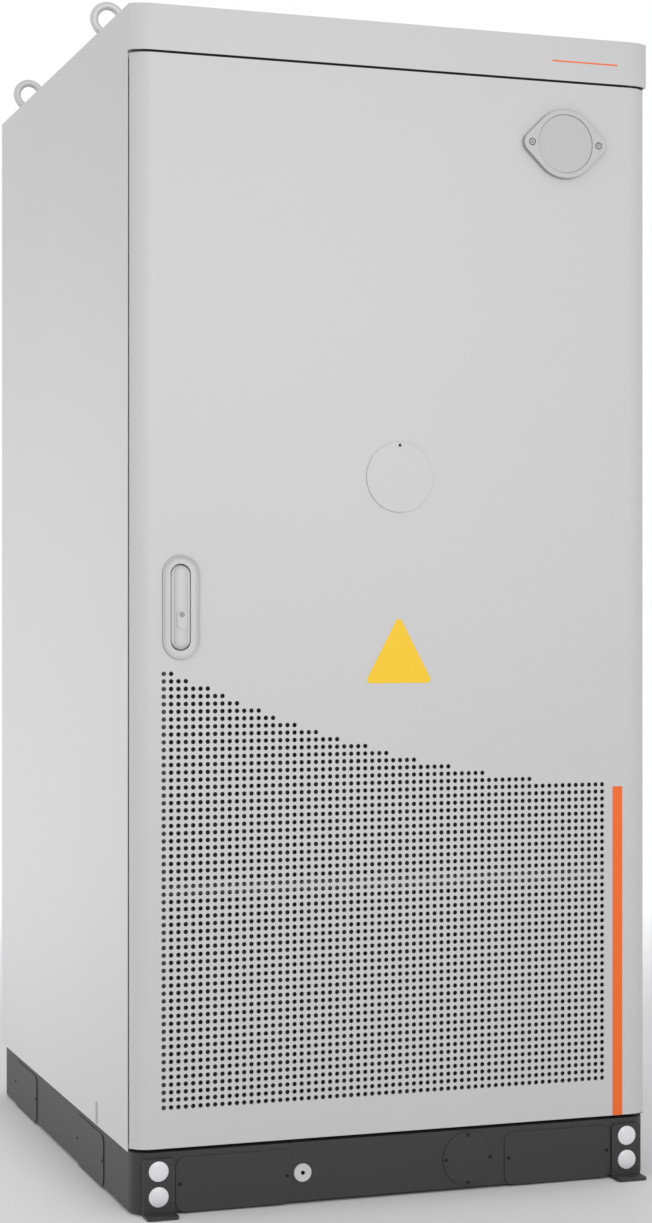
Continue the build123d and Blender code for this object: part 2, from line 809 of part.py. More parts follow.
# Handle bezel: an obround flange with a deep recess
bezel_front = front_y - bezel_height
pivot_y = bezel_front + lever_thickness
pivot_z = handle_z + lever_length / 2 - lever_pivot_drop
pin_reach_x = recess_width / 2 + recess_wall - lever_pin_inset
pin_span = (handle_x - pin_reach_x, handle_x + pin_reach_x)
with BuildPart() as bezel:
    with BuildSketch(front_plane(front_y)):
        with Locations((handle_x, handle_z)):
            SlotOverall(bezel_length, bezel_width, rotation=90)
    extrude(amount=bezel_height, taper=bezel_slope)
    chamfer(bezel.faces().sort_by(Axis.Y)[0].edges(), bezel_bevel / 2, bezel_bevel)
    with BuildSketch(front_plane(case_front)):
        with Locations((handle_x, handle_z)):
            SlotOverall(recess_length + 2 * recess_wall, recess_width + 2 * recess_wall, rotation=90)
    extrude(amount=recess_depth + recess_floor)
    with BuildSketch(front_plane(recess_y)):
        with Locations((handle_x, handle_z)):
            SlotOverall(recess_length, recess_width, rotation=90)
    extrude(amount=recess_depth + bezel_height, mode=Mode.SUBTRACT)
    pin_between(pin_span, pivot_y, pivot_z, lever_pin, Mode.SUBTRACT)
save(bezel, "handle_bezel")

# Pin of the lever
with BuildPart() as lever_pivot:
    pin_between(pin_span, pivot_y, pivot_z, lever_pin)
save(lever_pivot, "handle_pin")

# Lever with a bevelled grip on a wider plate, a pivot boss, a lock boss and the rivet of the dust cover
rivet_seat = bezel_front - dust_thickness - 2 * seal_gap
with BuildPart() as lever:
    with BuildSketch(front_plane(pivot_y)):
        with Locations((handle_x, handle_z)):
            SlotOverall(lever_length, lever_width, rotation=90)
    extrude(amount=lever_thickness)
    chamfer(lever.faces().sort_by(Axis.Y)[0].edges(), lever_crown)
    with BuildSketch(front_plane(pivot_y)):
        with Locations((handle_x, handle_z)):
            SlotOverall(recess_length - 2 * lever_plate_gap, recess_width - 2 * lever_plate_gap, rotation=90)
    extrude(amount=lever_plate)
    pin_between((handle_x - lever_width / 2 + lever_pin_inset, handle_x + lever_width / 2 - lever_pin_inset),
                pivot_y, pivot_z, lever_boss)
    rod_between(handle_x, key_z, (bezel_front + lever_crown, bezel_front + key_length),
                key_diameter + lever_plate)
    rod_between(handle_x, dust_rivet_z, (rivet_seat, bezel_front), dust_rivet)
    rod_between(handle_x, dust_rivet_z, (rivet_seat - rivet_rim, rivet_seat), dust_rivet_head)
    pin_between((handle_x - lever_width, handle_x + lever_width), pivot_y, pivot_z,
                lever_pin + 2 * running_gap, Mode.SUBTRACT)
    rod_between(handle_x, key_z, (bezel_front, bezel_front + key_length + overcut),
                key_diameter + 2 * running_gap, Mode.SUBTRACT)
save(lever, "handle_lever")

# Dust cover that swings on the rivet
with BuildPart() as dust_cover:
    with BuildSketch(front_plane(bezel_front - seal_gap)):
        with Locations((handle_x, dust_rivet_z + (dust_width - dust_length) / 2 - skin / 2)):
            SlotOverall(dust_length, dust_width, rotation=90)
        with Locations((handle_x, dust_rivet_z)):
            Circle(dust_rivet / 2 + running_gap, mode=Mode.SUBTRACT)
    extrude(amount=dust_thickness)
save(dust_cover, "dust_cover")

# Key cylinder in the lever
with BuildPart() as key_cylinder:
    rod_between(handle_x, key_z, (bezel_front, bezel_front + key_length), key_diameter)
    slab(around(handle_x, keyway_width),
         (bezel_front - overcut, bezel_front + keyway_depth),
         around(key_z, keyway_height), Mode.SUBTRACT)
save(key_cylinder, "key_cylinder")

# Lock case behind the recess
with BuildPart() as lock_case:
    with BuildSketch(front_plane(case_back)):
        with Locations((handle_x, handle_z)):
            RectangleRounded(case_width, case_length, case_depth)
        with Locations((handle_x, cam_z)):
            Circle(cam_hub / 2 + running_gap, mode=Mode.SUBTRACT)
    extrude(amount=case_depth)
save(lock_case, "lock_case")

# Cam disc that drives both rods
cam_reach = cam_throw * cos(radians(45))
with BuildPart() as cam:
    rod_between(handle_x, cam_z, (case_front + overcut, case_back + seal_gap), cam_hub)
    rod_between(handle_x, cam_z, (case_back + seal_gap, case_back + seal_gap + cam_thickness), cam_diameter)
    for side in (-1, 1):
        rod_between(handle_x + side * cam_reach, cam_z + side * cam_reach,
                    (case_back + seal_gap + cam_thickness, rod_front + rod_thickness + overcut), cam_pin)
save(cam, "lock_cam")

# Lock rods: flat bars with a cross slot at the cam
rod_top = lip_top - frame_wall - rod_end_clearance
rod_bottom = lip_bottom + frame_wall + rod_end_clearance
for side, name, tip in ((1, "lock_rod_upper", rod_top), (-1, "lock_rod_lower", rod_bottom)):
    rod_x = handle_x + side * rod_offset
    slot_z = cam_z + side * cam_reach
    with BuildPart() as lock_rod:
        slab(around(rod_x, rod_width), (rod_front, rod_front + rod_thickness),
             sorted((slot_z - side * rod_width / 2, tip)))
        chamfer(lock_rod.edges().filter_by(Axis.Y).group_by(Axis.Z)[-1 if side > 0 else 0], rod_width / 4)
        with BuildSketch(front_plane(rod_front + rod_thickness)):
            with Locations((rod_x, slot_z)):
                SlotOverall(rod_slot_length, rod_slot_height)
        extrude(amount=rod_thickness, mode=Mode.SUBTRACT)
    save(lock_rod, name)

# Guides that hold the rods to the stiffeners and to the filter frame
guide_places = [(1, z, channel_back) for z in stiffener_levels] + [(-1, filter_mid, filter_back)]
with BuildPart() as guides:
    for side, z, seat in guide_places:
        rod_x = handle_x + side * rod_offset
        half = guide_height / 2 if side > 0 else filter_bar / 2
        slab(around(rod_x, guide_width),
             (seat, rod_front + rod_thickness + guide_wall), (z - half, z + half))
        slab((rod_x - rod_width / 2 - seal_gap, rod_x + rod_width / 2 + seal_gap),
             (rod_front - seal_gap, rod_front + rod_thickness + seal_gap),
             (z - half - overcut, z + half + overcut), Mode.SUBTRACT)
save(guides, "rod_guides")

# Keepers on the lip, open to the front and to the rods
keeper_front = lip_front + frame_wall
with BuildPart() as keepers:
    for side, root in ((1, lip_top - frame_wall), (-1, lip_bottom + frame_wall)):
        rod_x = handle_x + side * rod_offset
        reach = rod_width / 2 + keeper_clearance
        ends = sorted((root, root - side * keeper_length))
        slab((rod_x - reach - keeper_cheek, rod_x + reach + keeper_cheek),
             (keeper_front, rod_front + rod_thickness + keeper_clearance + keeper_cheek), ends)
        slab((rod_x - reach, rod_x + reach),
             (keeper_front - overcut, rod_front + rod_thickness + keeper_clearance),
             sorted((root - side * skin, root - side * (keeper_length + overcut))), Mode.SUBTRACT)
save(keepers, "rod_keepers")

# Stop button: a cup behind the skin
cup_floor = skin_back + cup_depth
with BuildPart() as cup:
    slab(around(0, cup_flange), (skin_back, skin_back + cup_wall),
         around(stop_z, cup_flange))
    rod_between(0, stop_z, (skin_back, cup_floor), cup_mouth)
    rod_between(0, stop_z, (skin_back - overcut, cup_floor - cup_wall), cup_mouth - 2 * cup_wall,
                Mode.SUBTRACT)
    rod_between(0, stop_z, (skin_back, cup_floor), stem_diameter + 2 * running_gap, Mode.SUBTRACT)
save(cup, "stop_cup")

# Contact block behind the cup's floor
with BuildPart() as stop_base:
    slab(around(0, stop_block), (cup_floor, cup_floor + stop_block_depth),
         around(stop_z, stop_block))
    rod_between(0, stop_z, (cup_floor - overcut, cup_floor + stop_block_depth + overcut),
                stem_diameter + 2 * running_gap, Mode.SUBTRACT)
save(stop_base, "stop_base")

# Stem and mushroom head
head_front = front_y + head_setback
head_back = head_front + head_thickness
with BuildPart() as stem:
    rod_between(0, stop_z, (head_back - stem_socket, cup_floor + stop_block_depth - stop_travel),
                stem_diameter)
save(stem, "stop_stem")
with BuildPart() as head:
    rod_between(0, stop_z, (head_front, head_back), head_diameter)
    chamfer(head.faces().sort_by(Axis.Y)[0].edges(), head_thickness / 3)
    rod_between(0, stop_z, (head_back - stem_socket - seal_gap, head_back + overcut),
                stem_diameter + 2 * running_gap, Mode.SUBTRACT)
save(head, "stop_head")

# Round cover that hangs from a rivet in front of the stop button
cover_back = front_y - stop_cover_gap
with BuildPart() as stop_cover:
    rod_between(0, stop_z, (cover_back - stop_cover_thickness, cover_back), stop_cover_diameter)
    rod_between(0, stop_z + stop_rivet_rise,
                (cover_back - stop_cover_thickness - overcut, cover_back + overcut),
                stop_rivet + 2 * running_gap, Mode.SUBTRACT)
save(stop_cover, "stop_cover")
with BuildPart() as rivet:
    rivet_front = cover_back - stop_cover_thickness - seal_gap
    rod_between(0, stop_z + stop_rivet_rise, (rivet_front, skin_back + stop_rivet), stop_rivet)
    rod_between(0, stop_z + stop_rivet_rise, (rivet_front - rivet_rim, rivet_front), stop_rivet_head)
save(rivet, "stop_rivet")

# Lamp: two-eared bezel on a spacer, lens, housing and screws
lamp_seat = front_y - lamp_spacer
lamp_front = lamp_seat - lamp_bezel_depth
lens_front = lamp_front + lamp_lens_setback
lens_back = lens_front + lamp_lens_thickness


def lamp_outline(inset):
    """Outline of the lamp: the hull of the round body and the two ears, drawn in by the inset."""
    with BuildSketch() as sketch:
        with Locations((lamp_x, lamp_z)):
            Circle(lamp_body_diameter / 2 - inset)
            with GridLocations(2 * lamp_ear_x, 1, 2, 1):
                Circle(lamp_ear_diameter / 2 - inset)
        make_hull()
    return sketch.sketch


with BuildPart() as lamp_bezel:
    with BuildSketch(front_plane(lamp_seat)):
        add(lamp_outline(0))
    extrude(amount=lamp_bezel_depth)
    chamfer(lamp_bezel.faces().sort_by(Axis.Y)[0].edges(), lamp_bezel_bevel)
    rod_between(lamp_x, lamp_z, (lamp_front - overcut, lens_back), lamp_lens_diameter, Mode.SUBTRACT)
    for side in (-1, 1):
        rod_between(lamp_x + side * lamp_screw_x, lamp_z, (lamp_front - overcut, lamp_seat + overcut),
                    lamp_counterbore, Mode.SUBTRACT)
save(lamp_bezel, "lamp_bezel")
with BuildPart() as lens:
    rod_between(lamp_x, lamp_z, (lens_front, lens_back), lamp_lens_diameter - 2 * seal_gap)
save(lens, "lamp_lens")
with BuildPart() as lamp_housing:
    with BuildSketch(front_plane(front_y)):
        add(lamp_outline(lamp_spacer_inset))
    extrude(amount=lamp_spacer)
    rod_between(lamp_x, lamp_z, (front_y, skin_back + lamp_housing_depth), lamp_hole - 2 * skin)
    rod_between(lamp_x, lamp_z, (lamp_seat - overcut, skin_back + lamp_housing_depth - skin),
                lamp_hole - 4 * skin, Mode.SUBTRACT)
save(lamp_housing, "lamp_housing")
with BuildPart() as lamp_screws:
    for side in (-1, 1):
        rod_between(lamp_x + side * lamp_screw_x, lamp_z, (lamp_front + seal_gap, lamp_seat), screw_head)
        with BuildSketch(front_plane(lamp_front + seal_gap)):
            with Locations((lamp_x + side * lamp_screw_x, lamp_z)):
                RegularPolygon(screw_diameter / 2, 6)
        extrude(amount=-screw_socket, mode=Mode.SUBTRACT)
save(lamp_screws, "lamp_screws")

# Shelf between the compartments, with holes for the coolant pipes and a power cable
plug_w, plug_d, plug_h = power_plug_size
plug_right_x = pack_width / 2 - power_plug_inset
plug_left_x = plug_right_x - power_plug_spacing
pipe_x = -pack_width / 2 - pipe_reach
cable_y = pack_front - plug_d / 2
rail_front = frame_back + post_size / 2
pipe_places = [(pipe_x, front_y + setback) for setback in pipe_setbacks]
pipe_gap = (
    around(pipe_x, pipe_hole),
    (front_y + pipe_setbacks[0] - pipe_hole / 2, front_y + pipe_setbacks[1] + pipe_hole / 2),
)
with BuildPart() as shelf:
    slab((rail_wall - post_inner, post_inner - rail_wall), (rail_front, rear_inner),
         (shelf_z, shelf_z + frame_wall))
    slab(*pipe_gap, (shelf_z - overcut, shelf_z + frame_wall + overcut), Mode.SUBTRACT)
    slab(around(plug_left_x, cable_hole),
         around(cable_y, cable_hole), (shelf_z - overcut, shelf_z + frame_wall + overcut),
         Mode.SUBTRACT)
save(shelf, "compartment_shelf")

# Angle rails under the packs, the high-voltage box and the shelf
rail_levels = pack_levels + [hv_bottom, shelf_z]
rail_reach = pack_side_space + rail_seat
with BuildPart() as rails:
    for side in (-1, 1):
        with BuildSketch(Plane.XZ.offset(-rear_inner)):
            for z in rail_levels:
                with Locations((side * (post_inner - rail_reach / 2), z - rail_wall / 2)):
                    Rectangle(rail_reach, rail_wall)
                with Locations((side * (post_inner - rail_wall / 2), z - rail_leg / 2)):
                    Rectangle(rail_wall, rail_leg)
        extrude(amount=rear_inner - rail_front)
    slab(*pipe_gap, (hv_bottom - rail_leg, pack_levels[-1] + overcut), Mode.SUBTRACT)
save(rails, "pack_rails")

# Battery packs: trays, cell rows and lids
pack_depth = pack_back - pack_front
cell_row_pitch = (pack_width - 2 * pack_wall - cell_side_space) / cell_rows
cell_depth = (pack_depth - 2 * pack_wall - cell_end_space) / cells_per_row
with BuildPart() as packs:
    for z in pack_levels:
        with BuildSketch(level(z)):
            with Locations((0, (pack_front + pack_back) / 2)):
                Rectangle(pack_width, pack_depth)
        extrude(amount=pack_tray_height)
        with BuildSketch(level(z + pack_wall)):
            with Locations((0, (pack_front + pack_back) / 2)):
                Rectangle(pack_width - 2 * pack_wall, pack_depth - 2 * pack_wall)
        extrude(amount=pack_tray_height, mode=Mode.SUBTRACT)
save(packs, "battery_trays")
with BuildPart() as cells:
    for z in pack_levels:
        with BuildSketch(level(z + pack_wall)):
            with Locations((0, (pack_front + pack_back) / 2)):
                with GridLocations(cell_row_pitch, 1, cell_rows, 1):
                    Rectangle(cell_row_pitch - cell_row_gap, cell_depth * cells_per_row)
        extrude(amount=cell_height)
save(cells, "battery_cells")
with BuildPart() as lids:
    for z in pack_levels:
        with BuildSketch(level(z + pack_tray_height)):
            with Locations((0, (pack_front + pack_back) / 2)):
                Rectangle(pack_width - 2 * pack_lid_inset, pack_depth - 2 * pack_lid_inset)
        extrude(amount=pack_lid_height, taper=pack_lid_slope)
save(lids, "pack_lids")

# Power plugs on the packs and the high-voltage box
hv_plug_z = hv_bottom + hv_height / 2
pack_plug_levels = [z + pack_tray_height / 2 for z in pack_levels]
with BuildPart() as power_plugs:
    for z in pack_plug_levels:
        for x in (plug_left_x, plug_right_x):
            slab(around(x, plug_w), (pack_front - plug_d, pack_front), around(z, plug_h))
    slab(around(plug_left_x, plug_w), (pack_front - plug_d, pack_front),
         around(hv_plug_z, plug_h))
save(power_plugs, "power_plugs")

# Power cables: straight six-sided links from plug to plug
plug_stack = [hv_plug_z] + pack_plug_levels
with BuildPart() as cables:
    for i in range(pack_count):
        with BuildSketch(level(plug_stack[i] + plug_h / 2)):
            with Locations((plug_left_x if i % 2 == 0 else plug_right_x, cable_y)):
                RegularPolygon(cable_diameter / 2, 6)
        extrude(amount=plug_stack[i + 1] - plug_stack[i] - plug_h)
save(cables, "power_cables")

# Coolant manifolds: square tubes with a six-sided nipple into the side of every pack
with BuildPart() as pipes:
    for (x, y), rise in zip(pipe_places, stub_rises):
        slab(around(x, pipe_width), around(y, pipe_width),
             (unit_top, pack_levels[-1] + pipe_rise))
        with BuildSketch(Plane.YZ.offset(x)):
            with Locations(*[(y, z + rise) for z in pack_levels]):
                RegularPolygon(stub_diameter / 2, 6)
        extrude(amount=pipe_reach)
save(pipes, "coolant_pipes")

# High-voltage box with the base of the isolator
hv_width = pack_width + 2 * hv_overhang
with BuildPart() as hv_box:
    slab(around(0, hv_width), (pack_front, pack_front + hv_depth), (hv_bottom, hv_bottom + hv_height))
    slab(around(isolator_x, isolator_base),
         (pack_front - isolator_base_depth, pack_front),
         around(hv_plug_z, isolator_base))
    slab(around(0, hv_width - 2 * case_wall), (pack_front + case_wall, pack_front + hv_depth + overcut),
         (hv_bottom + case_wall, hv_bottom + hv_height - case_wall), Mode.SUBTRACT)
    for side in (-1, 1):
        slab(around(side * contactor_x, contactor_size[0]),
             (pack_front + hv_depth / 2, pack_front + hv_depth / 2 + contactor_size[1]),
             (hv_bottom + case_wall, hv_bottom + case_wall + contactor_size[2]))
    rod_between(isolator_x, hv_plug_z,
                (pack_front - isolator_base_depth - overcut, pack_front + case_wall + overcut),
                isolator_shaft + 2 * running_gap, Mode.SUBTRACT)
save(hv_box, "hv_box")
isolator_face = pack_front - isolator_base_depth - seal_gap
with BuildPart() as isolator:
    rod_between(isolator_x, hv_plug_z, (isolator_face - isolator_disc, isolator_face), isolator_diameter)
    slab(around(isolator_x, isolator_bar),
         (isolator_face - isolator_disc - isolator_bar, isolator_face - isolator_disc),
         around(hv_plug_z, isolator_grip))
    rod_between(isolator_x, hv_plug_z, (isolator_face, pack_front + isolator_reach), isolator_shaft)
save(isolator, "isolator_knob")


def fan_case(x, y_back, fans, diameter):
    """Cooled unit: an open-backed case with fins, and a duct, shaft and guard at each fan place."""
    inside = (unit_bottom + case_wall, unit_top - case_wall)
    with BuildPart() as unit:
        slab(x, (pack_front, y_back), (unit_bottom, unit_top))
        slab((x[0] + case_wall, x[1] - case_wall), (pack_front + case_wall, y_back + overcut), inside,
             Mode.SUBTRACT)
        for i in range(fin_count):
            fin_x = x[0] + (i + 1) * (x[1] - x[0]) / (fin_count + 1)
            slab(around(fin_x, fin_thickness), (pack_front + fin_setback, y_back), inside)
        for fan_x, fan_z in fans:
            opening = diameter + 2 * fan_clearance
            rod_between(fan_x, fan_z, (pack_front, pack_front + fan_tunnel), opening + 2 * case_wall)
            rod_between(fan_x, fan_z, (pack_front - overcut, pack_front + fan_tunnel + overcut), opening,
                        Mode.SUBTRACT)
            rod_between(fan_x, fan_z, (pack_front + fan_tunnel / 4, pack_front + fan_tunnel), fan_shaft)
            slab((fan_x - opening / 2 - overcut, fan_x + opening / 2 + overcut),
                 (pack_front + fan_tunnel - 2 * case_wall, pack_front + fan_tunnel),
                 around(fan_z, fan_bar))
            bars = int(opening / guard_pitch)
            for i in range(bars):
                bar_z = fan_z + (i - (bars - 1) / 2) * guard_pitch
                half = sqrt((opening / 2) ** 2 - (abs(bar_z - fan_z) + guard_bar / 2) ** 2)
                slab((fan_x - half - overcut, fan_x + half + overcut), (pack_front, pack_front + case_wall),
                     around(bar_z, guard_bar))
    return unit


def fan_rotor(x, z, diameter):
    """Rotor: a hub on the shaft with pitched blades around it."""
    hub = diameter * fan_hub_share
    start = pack_front + fan_tunnel / 4
    thickness = fan_tunnel / 2
    with BuildPart() as rotor:
        rod_between(x, z, (start, start + thickness), hub)
        blade_length = diameter / 2 - hub / 3
        for i in range(fan_blades):
            turn = 360 / fan_blades * i
            angle = radians(turn)
            reach = diameter / 2 - blade_length / 2
            spot = Plane(
                (x + reach * cos(angle), start + thickness / 2, z + reach * sin(angle)),
                x_dir=(cos(angle), 0, sin(angle)),
                z_dir=(-sin(angle) * sin(radians(fan_blade_pitch)), -cos(radians(fan_blade_pitch)),
                       cos(angle) * sin(radians(fan_blade_pitch))),
            )
            with BuildSketch(spot):
                Trapezoid(thickness * 1.2, blade_length * 0.96, 96, 96, rotation=90)
            extrude(amount=fan_blade_thickness / 2, both=True)
        rod_between(x, z, (start - overcut, start + thickness + overcut), fan_shaft + 2 * running_gap,
                    Mode.SUBTRACT)
    return rotor


# Power converter with two fans, and liquid chiller with one
unit_middle = (unit_inner + unit_outer) / 2
converter_fan_diameter = (unit_outer - unit_inner) / 2 - converter_fan_margin
converter_fan_pitch = converter_fan_diameter + converter_fan_gap
converter_fan_z = unit_top - converter_fan_drop
converter_fans = [(unit_middle + side * converter_fan_pitch / 2, converter_fan_z) for side in (-1, 1)]
chiller_fan_diameter = unit_outer - unit_inner - chiller_fan_margin
chiller_fan_z = unit_top - chiller_fan_drop
converter = fan_case((unit_inner, unit_outer), pack_front + converter_depth, converter_fans,
                     converter_fan_diameter)
save(converter, "converter_unit")
save(fan_rotor(*converter_fans[0], converter_fan_diameter), "converter_fan_left")
save(fan_rotor(*converter_fans[1], converter_fan_diameter), "converter_fan_right")
chiller = fan_case((-unit_outer, -unit_inner), pack_front + chiller_depth,
                   [(-unit_middle, chiller_fan_z)], chiller_fan_diameter)
save(chiller, "chiller_unit")
save(fan_rotor(-unit_middle, chiller_fan_z, chiller_fan_diameter), "chiller_fan")

# Fire-suppression canister on two brackets behind the header
canister_y = front_y + canister_setback
with BuildPart() as canister:
    pin_between(around(0, canister_length), canister_y, canister_z, canister_diameter)
    for side in (-1, 1):
        x = side * canister_length / 3
        slab((x - 2, x + 2), (frame_back + post_size, canister_y + canister_diameter / 2),
             (canister_z, beam_bottom + beam_height / 2))
save(canister, "fire_canister")
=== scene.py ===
"""Looks of the outdoor battery cabinet: finishes, finer pieces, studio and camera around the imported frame."""

import functools
import json
import logging
import math
import operator
from dataclasses import dataclass
from enum import Enum
from typing import Iterable, Sequence

import bmesh
import bpy
import numpy as np
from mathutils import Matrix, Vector
from mathutils.geometry import tessellate_polygon


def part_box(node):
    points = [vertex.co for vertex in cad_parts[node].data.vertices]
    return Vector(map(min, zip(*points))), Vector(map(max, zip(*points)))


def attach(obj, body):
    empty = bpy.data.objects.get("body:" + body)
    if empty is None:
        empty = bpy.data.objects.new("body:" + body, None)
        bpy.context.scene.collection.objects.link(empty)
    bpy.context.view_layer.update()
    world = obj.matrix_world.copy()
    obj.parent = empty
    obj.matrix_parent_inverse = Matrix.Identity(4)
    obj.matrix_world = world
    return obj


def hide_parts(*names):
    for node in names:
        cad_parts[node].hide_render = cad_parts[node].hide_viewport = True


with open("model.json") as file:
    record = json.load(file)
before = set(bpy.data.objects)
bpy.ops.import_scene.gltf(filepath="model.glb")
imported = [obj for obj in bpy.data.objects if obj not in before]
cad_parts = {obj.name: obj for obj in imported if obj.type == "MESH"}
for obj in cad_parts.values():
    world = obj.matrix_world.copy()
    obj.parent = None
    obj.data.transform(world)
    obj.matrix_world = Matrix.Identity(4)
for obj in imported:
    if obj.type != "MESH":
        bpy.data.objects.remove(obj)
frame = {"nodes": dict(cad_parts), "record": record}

LOG = logging.getLogger("cabinet")
MM = 0.001
MERGE_MM = 0.004
SMOOTH_DEGREES = 35.0
COAT_ROUGHNESS = 0.12
BUMP_STRENGTH = 0.35
Point = tuple[float, float]
Triple = tuple[float, float, float]
Profile = Sequence[Point]
Socket = bpy.types.NodeSocket


class Pattern(Enum):
    """Surface structure of a finish."""

    POWDER = "powder"
    SPANGLE = "spangle"
    BRUSHED = "brushed"
    MOULDED = "moulded"
    FLEECE = "fleece"
    ENAMEL = "enamel"


class Axis(Enum):
    """Axis that a prism or a turned form stands on; the value is its place in (x, y, z)."""

    X = 0
    Y = 1
    Z = 2


@dataclass(frozen=True)
class Finish:
    """One material: its colour, gloss and surface structure.

    Sizes are in millimetres; variation and speckle are shares of the colour.
    """

    name: str
    color: Triple
    roughness: float
    pattern: Pattern
    grain_mm: float
    bump_mm: float
    variation: float = 0.03
    speckle: float = 0.0
    metallic: float = 0.0
    coat: float = 0.0
    stretch: Triple = (1.0, 1.0, 1.0)

    def material(self) -> bpy.types.Material:
        """Build the node material from procedural textures in object coordinates, or find it if it exists.

        Returns:
            The Blender material.
        """
        if self.name in bpy.data.materials:
            return bpy.data.materials[self.name]
        made = bpy.data.materials.new(self.name)
        made.use_nodes = True
        graph = Graph(made.node_tree)
        shader = made.node_tree.nodes["Principled BSDF"]
        shader.inputs["Metallic"].default_value = self.metallic
        shader.inputs["Coat Weight"].default_value = self.coat
        shader.inputs["Coat Roughness"].default_value = COAT_ROUGHNESS
        place = graph.node("ShaderNodeMapping", Vector=graph.node("ShaderNodeTexCoord").outputs["Object"])
        place.inputs["Scale"].default_value = self.stretch
        tone, gloss, relief = self.structure(graph, place.outputs["Vector"])
        color = graph.node("ShaderNodeVectorMath", operation="SCALE", Scale=tone)
        color.inputs[0].default_value = self.color
        bump = graph.node("ShaderNodeBump", Height=relief)
        bump.inputs["Strength"].default_value = BUMP_STRENGTH
        bump.inputs["Distance"].default_value = self.bump_mm * MM
        graph.link(color.outputs[0], shader.inputs["Base Color"])
        graph.link(gloss, shader.inputs["Roughness"])
        graph.link(bump.outputs["Normal"], shader.inputs["Normal"])
        return made

    def structure(self, graph: "Graph", where: Socket) -> tuple[Socket, Socket, Socket]:
        """Wide clouds and fine grain, to which the pattern adds spangle cells, fibres or orange peel.

        Args:
            graph: the material's nodes.
            where: the coordinates.
        Returns:
            The tone about 1 that scales the colour, the roughness and the height of the bumps.
        """
        fine = 1 / MM / self.grain_mm
        cloud = graph.noise(where, scale=2.4, detail=4.0)
        grain = graph.noise(where, scale=fine, detail=3.0)
        tone = graph.math("MULTIPLY", graph.about(cloud, 1.0, width=2 * self.variation),
                          graph.about(grain, 1.0, width=self.variation))
        gloss = graph.about(cloud, self.roughness, width=0.12)
        relief = grain
        if self.pattern is Pattern.SPANGLE:
            color = graph.cells(where, scale=90.0).outputs["Color"]
            flake = graph.node("ShaderNodeSeparateColor", Color=color).outputs[0]
            tone = graph.math("MULTIPLY", tone, graph.about(flake, 1.0, width=0.22))
            gloss = graph.about(flake, self.roughness, width=0.22)
        elif self.pattern is Pattern.FLEECE:
            fibres = graph.noise(where, scale=2.6 * fine, detail=8.0)
            tone = graph.math("MULTIPLY", tone, graph.about(fibres, 1.0, width=0.9))
            relief = graph.math("ADD", grain, fibres)
        elif self.pattern is Pattern.POWDER:
            peel_height = 1.4
            peel = graph.noise(where, scale=0.42 * fine, detail=2.0)
            relief = graph.math("MULTIPLY_ADD", peel, peel_height, grain)
            gloss = graph.about(peel, self.roughness, width=0.10)
        if self.speckle:
            speck_radius = 0.13
            dots = graph.math("LESS_THAN", graph.cells(where, scale=150.0).outputs["Distance"], speck_radius)
            tone = graph.math("MULTIPLY_ADD", dots, self.speckle, tone)
        return tone, gloss, relief


class Graph:
    """Short way to add and link shader nodes."""

    def __init__(self, tree: bpy.types.NodeTree) -> None:
        """Keep the material's or world's node tree."""
        self.tree = tree

    def link(self, source: Socket, target: Socket) -> None:
        """Link an output to an input."""
        self.tree.links.new(source, target)

    def node(self, kind: str, operation: str = "", **sources: Socket) -> bpy.types.Node:
        """Add a node and link its named inputs.

        Args:
            kind: Blender's node type.
            operation: the operation of a math node, or nothing.
            sources: an output for each named input.
        Returns:
            The new node.
        """
        made = self.tree.nodes.new(kind)
        if operation:
            made.operation = operation
        for name, source in sources.items():
            self.link(source, made.inputs[name])
        return made

    def noise(self, where: Socket, scale: float, detail: float) -> Socket:
        """Noise from 0 to 1.

        Args:
            where: the coordinates.
            scale: features per metre.
            detail: octaves.
        Returns:
            The noise's value.
        """
        made = self.node("ShaderNodeTexNoise", Vector=where)
        made.inputs["Scale"].default_value = scale
        made.inputs["Detail"].default_value = detail
        return made.outputs[0]

    def cells(self, where: Socket, scale: float) -> bpy.types.Node:
        """Random cells, as the grains of galvanised sheet.

        Args:
            where: the coordinates.
            scale: cells per metre.
        Returns:
            The node, with a colour for each cell and the distance to its middle.
        """
        made = self.node("ShaderNodeTexVoronoi", Vector=where)
        made.inputs["Scale"].default_value = scale
        return made

    def math(self, operation: str, *values: Socket | float) -> Socket:
        """Math node whose inputs are sockets or numbers.

        Args:
            operation: Blender's name of the operation.
            values: one socket or number for each input.
        Returns:
            The result.
        """
        made = self.node("ShaderNodeMath", operation)
        for slot, value in zip(made.inputs, values):
            if isinstance(value, Socket):
                self.link(value, slot)
            else:
                slot.default_value = value
        return made.outputs[0]

    def about(self, value: Socket, middle: float, width: float) -> Socket:
        """Spread a value from 0 to 1 evenly about a middle: width value + middle - width / 2."""
        return self.math("MULTIPLY_ADD", value, width, middle - width / 2)


def coat(name: str, color: Triple, roughness: float = 0.46) -> Finish:
    """Fine textured powder coat of a linear colour and a mean roughness."""
    return Finish(name, color, roughness, Pattern.POWDER, grain_mm=1.6, bump_mm=0.22, variation=0.018,
                  speckle=0.02)


def plastic(name: str, color: Triple, roughness: float = 0.45, shine: float = 0.0) -> Finish:
    """Moulded plastic with a fine spark-eroded texture; shine is the weight of its clear coat."""
    return Finish(name, color, roughness, Pattern.MOULDED, grain_mm=0.9, bump_mm=0.05, variation=0.025,
                  coat=shine)


def metal(name: str, color: Triple, roughness: float, pattern: Pattern = Pattern.BRUSHED) -> Finish:
    """Bare or plated metal, with spangle or with brushed lines that are drawn out along the height."""
    lines = (1.0, 1.0, 0.06) if pattern is Pattern.BRUSHED else (1.0, 1.0, 1.0)
    return Finish(name, color, roughness, pattern, grain_mm=1.2, bump_mm=0.03, variation=0.04, metallic=1.0,
                  stretch=lines)


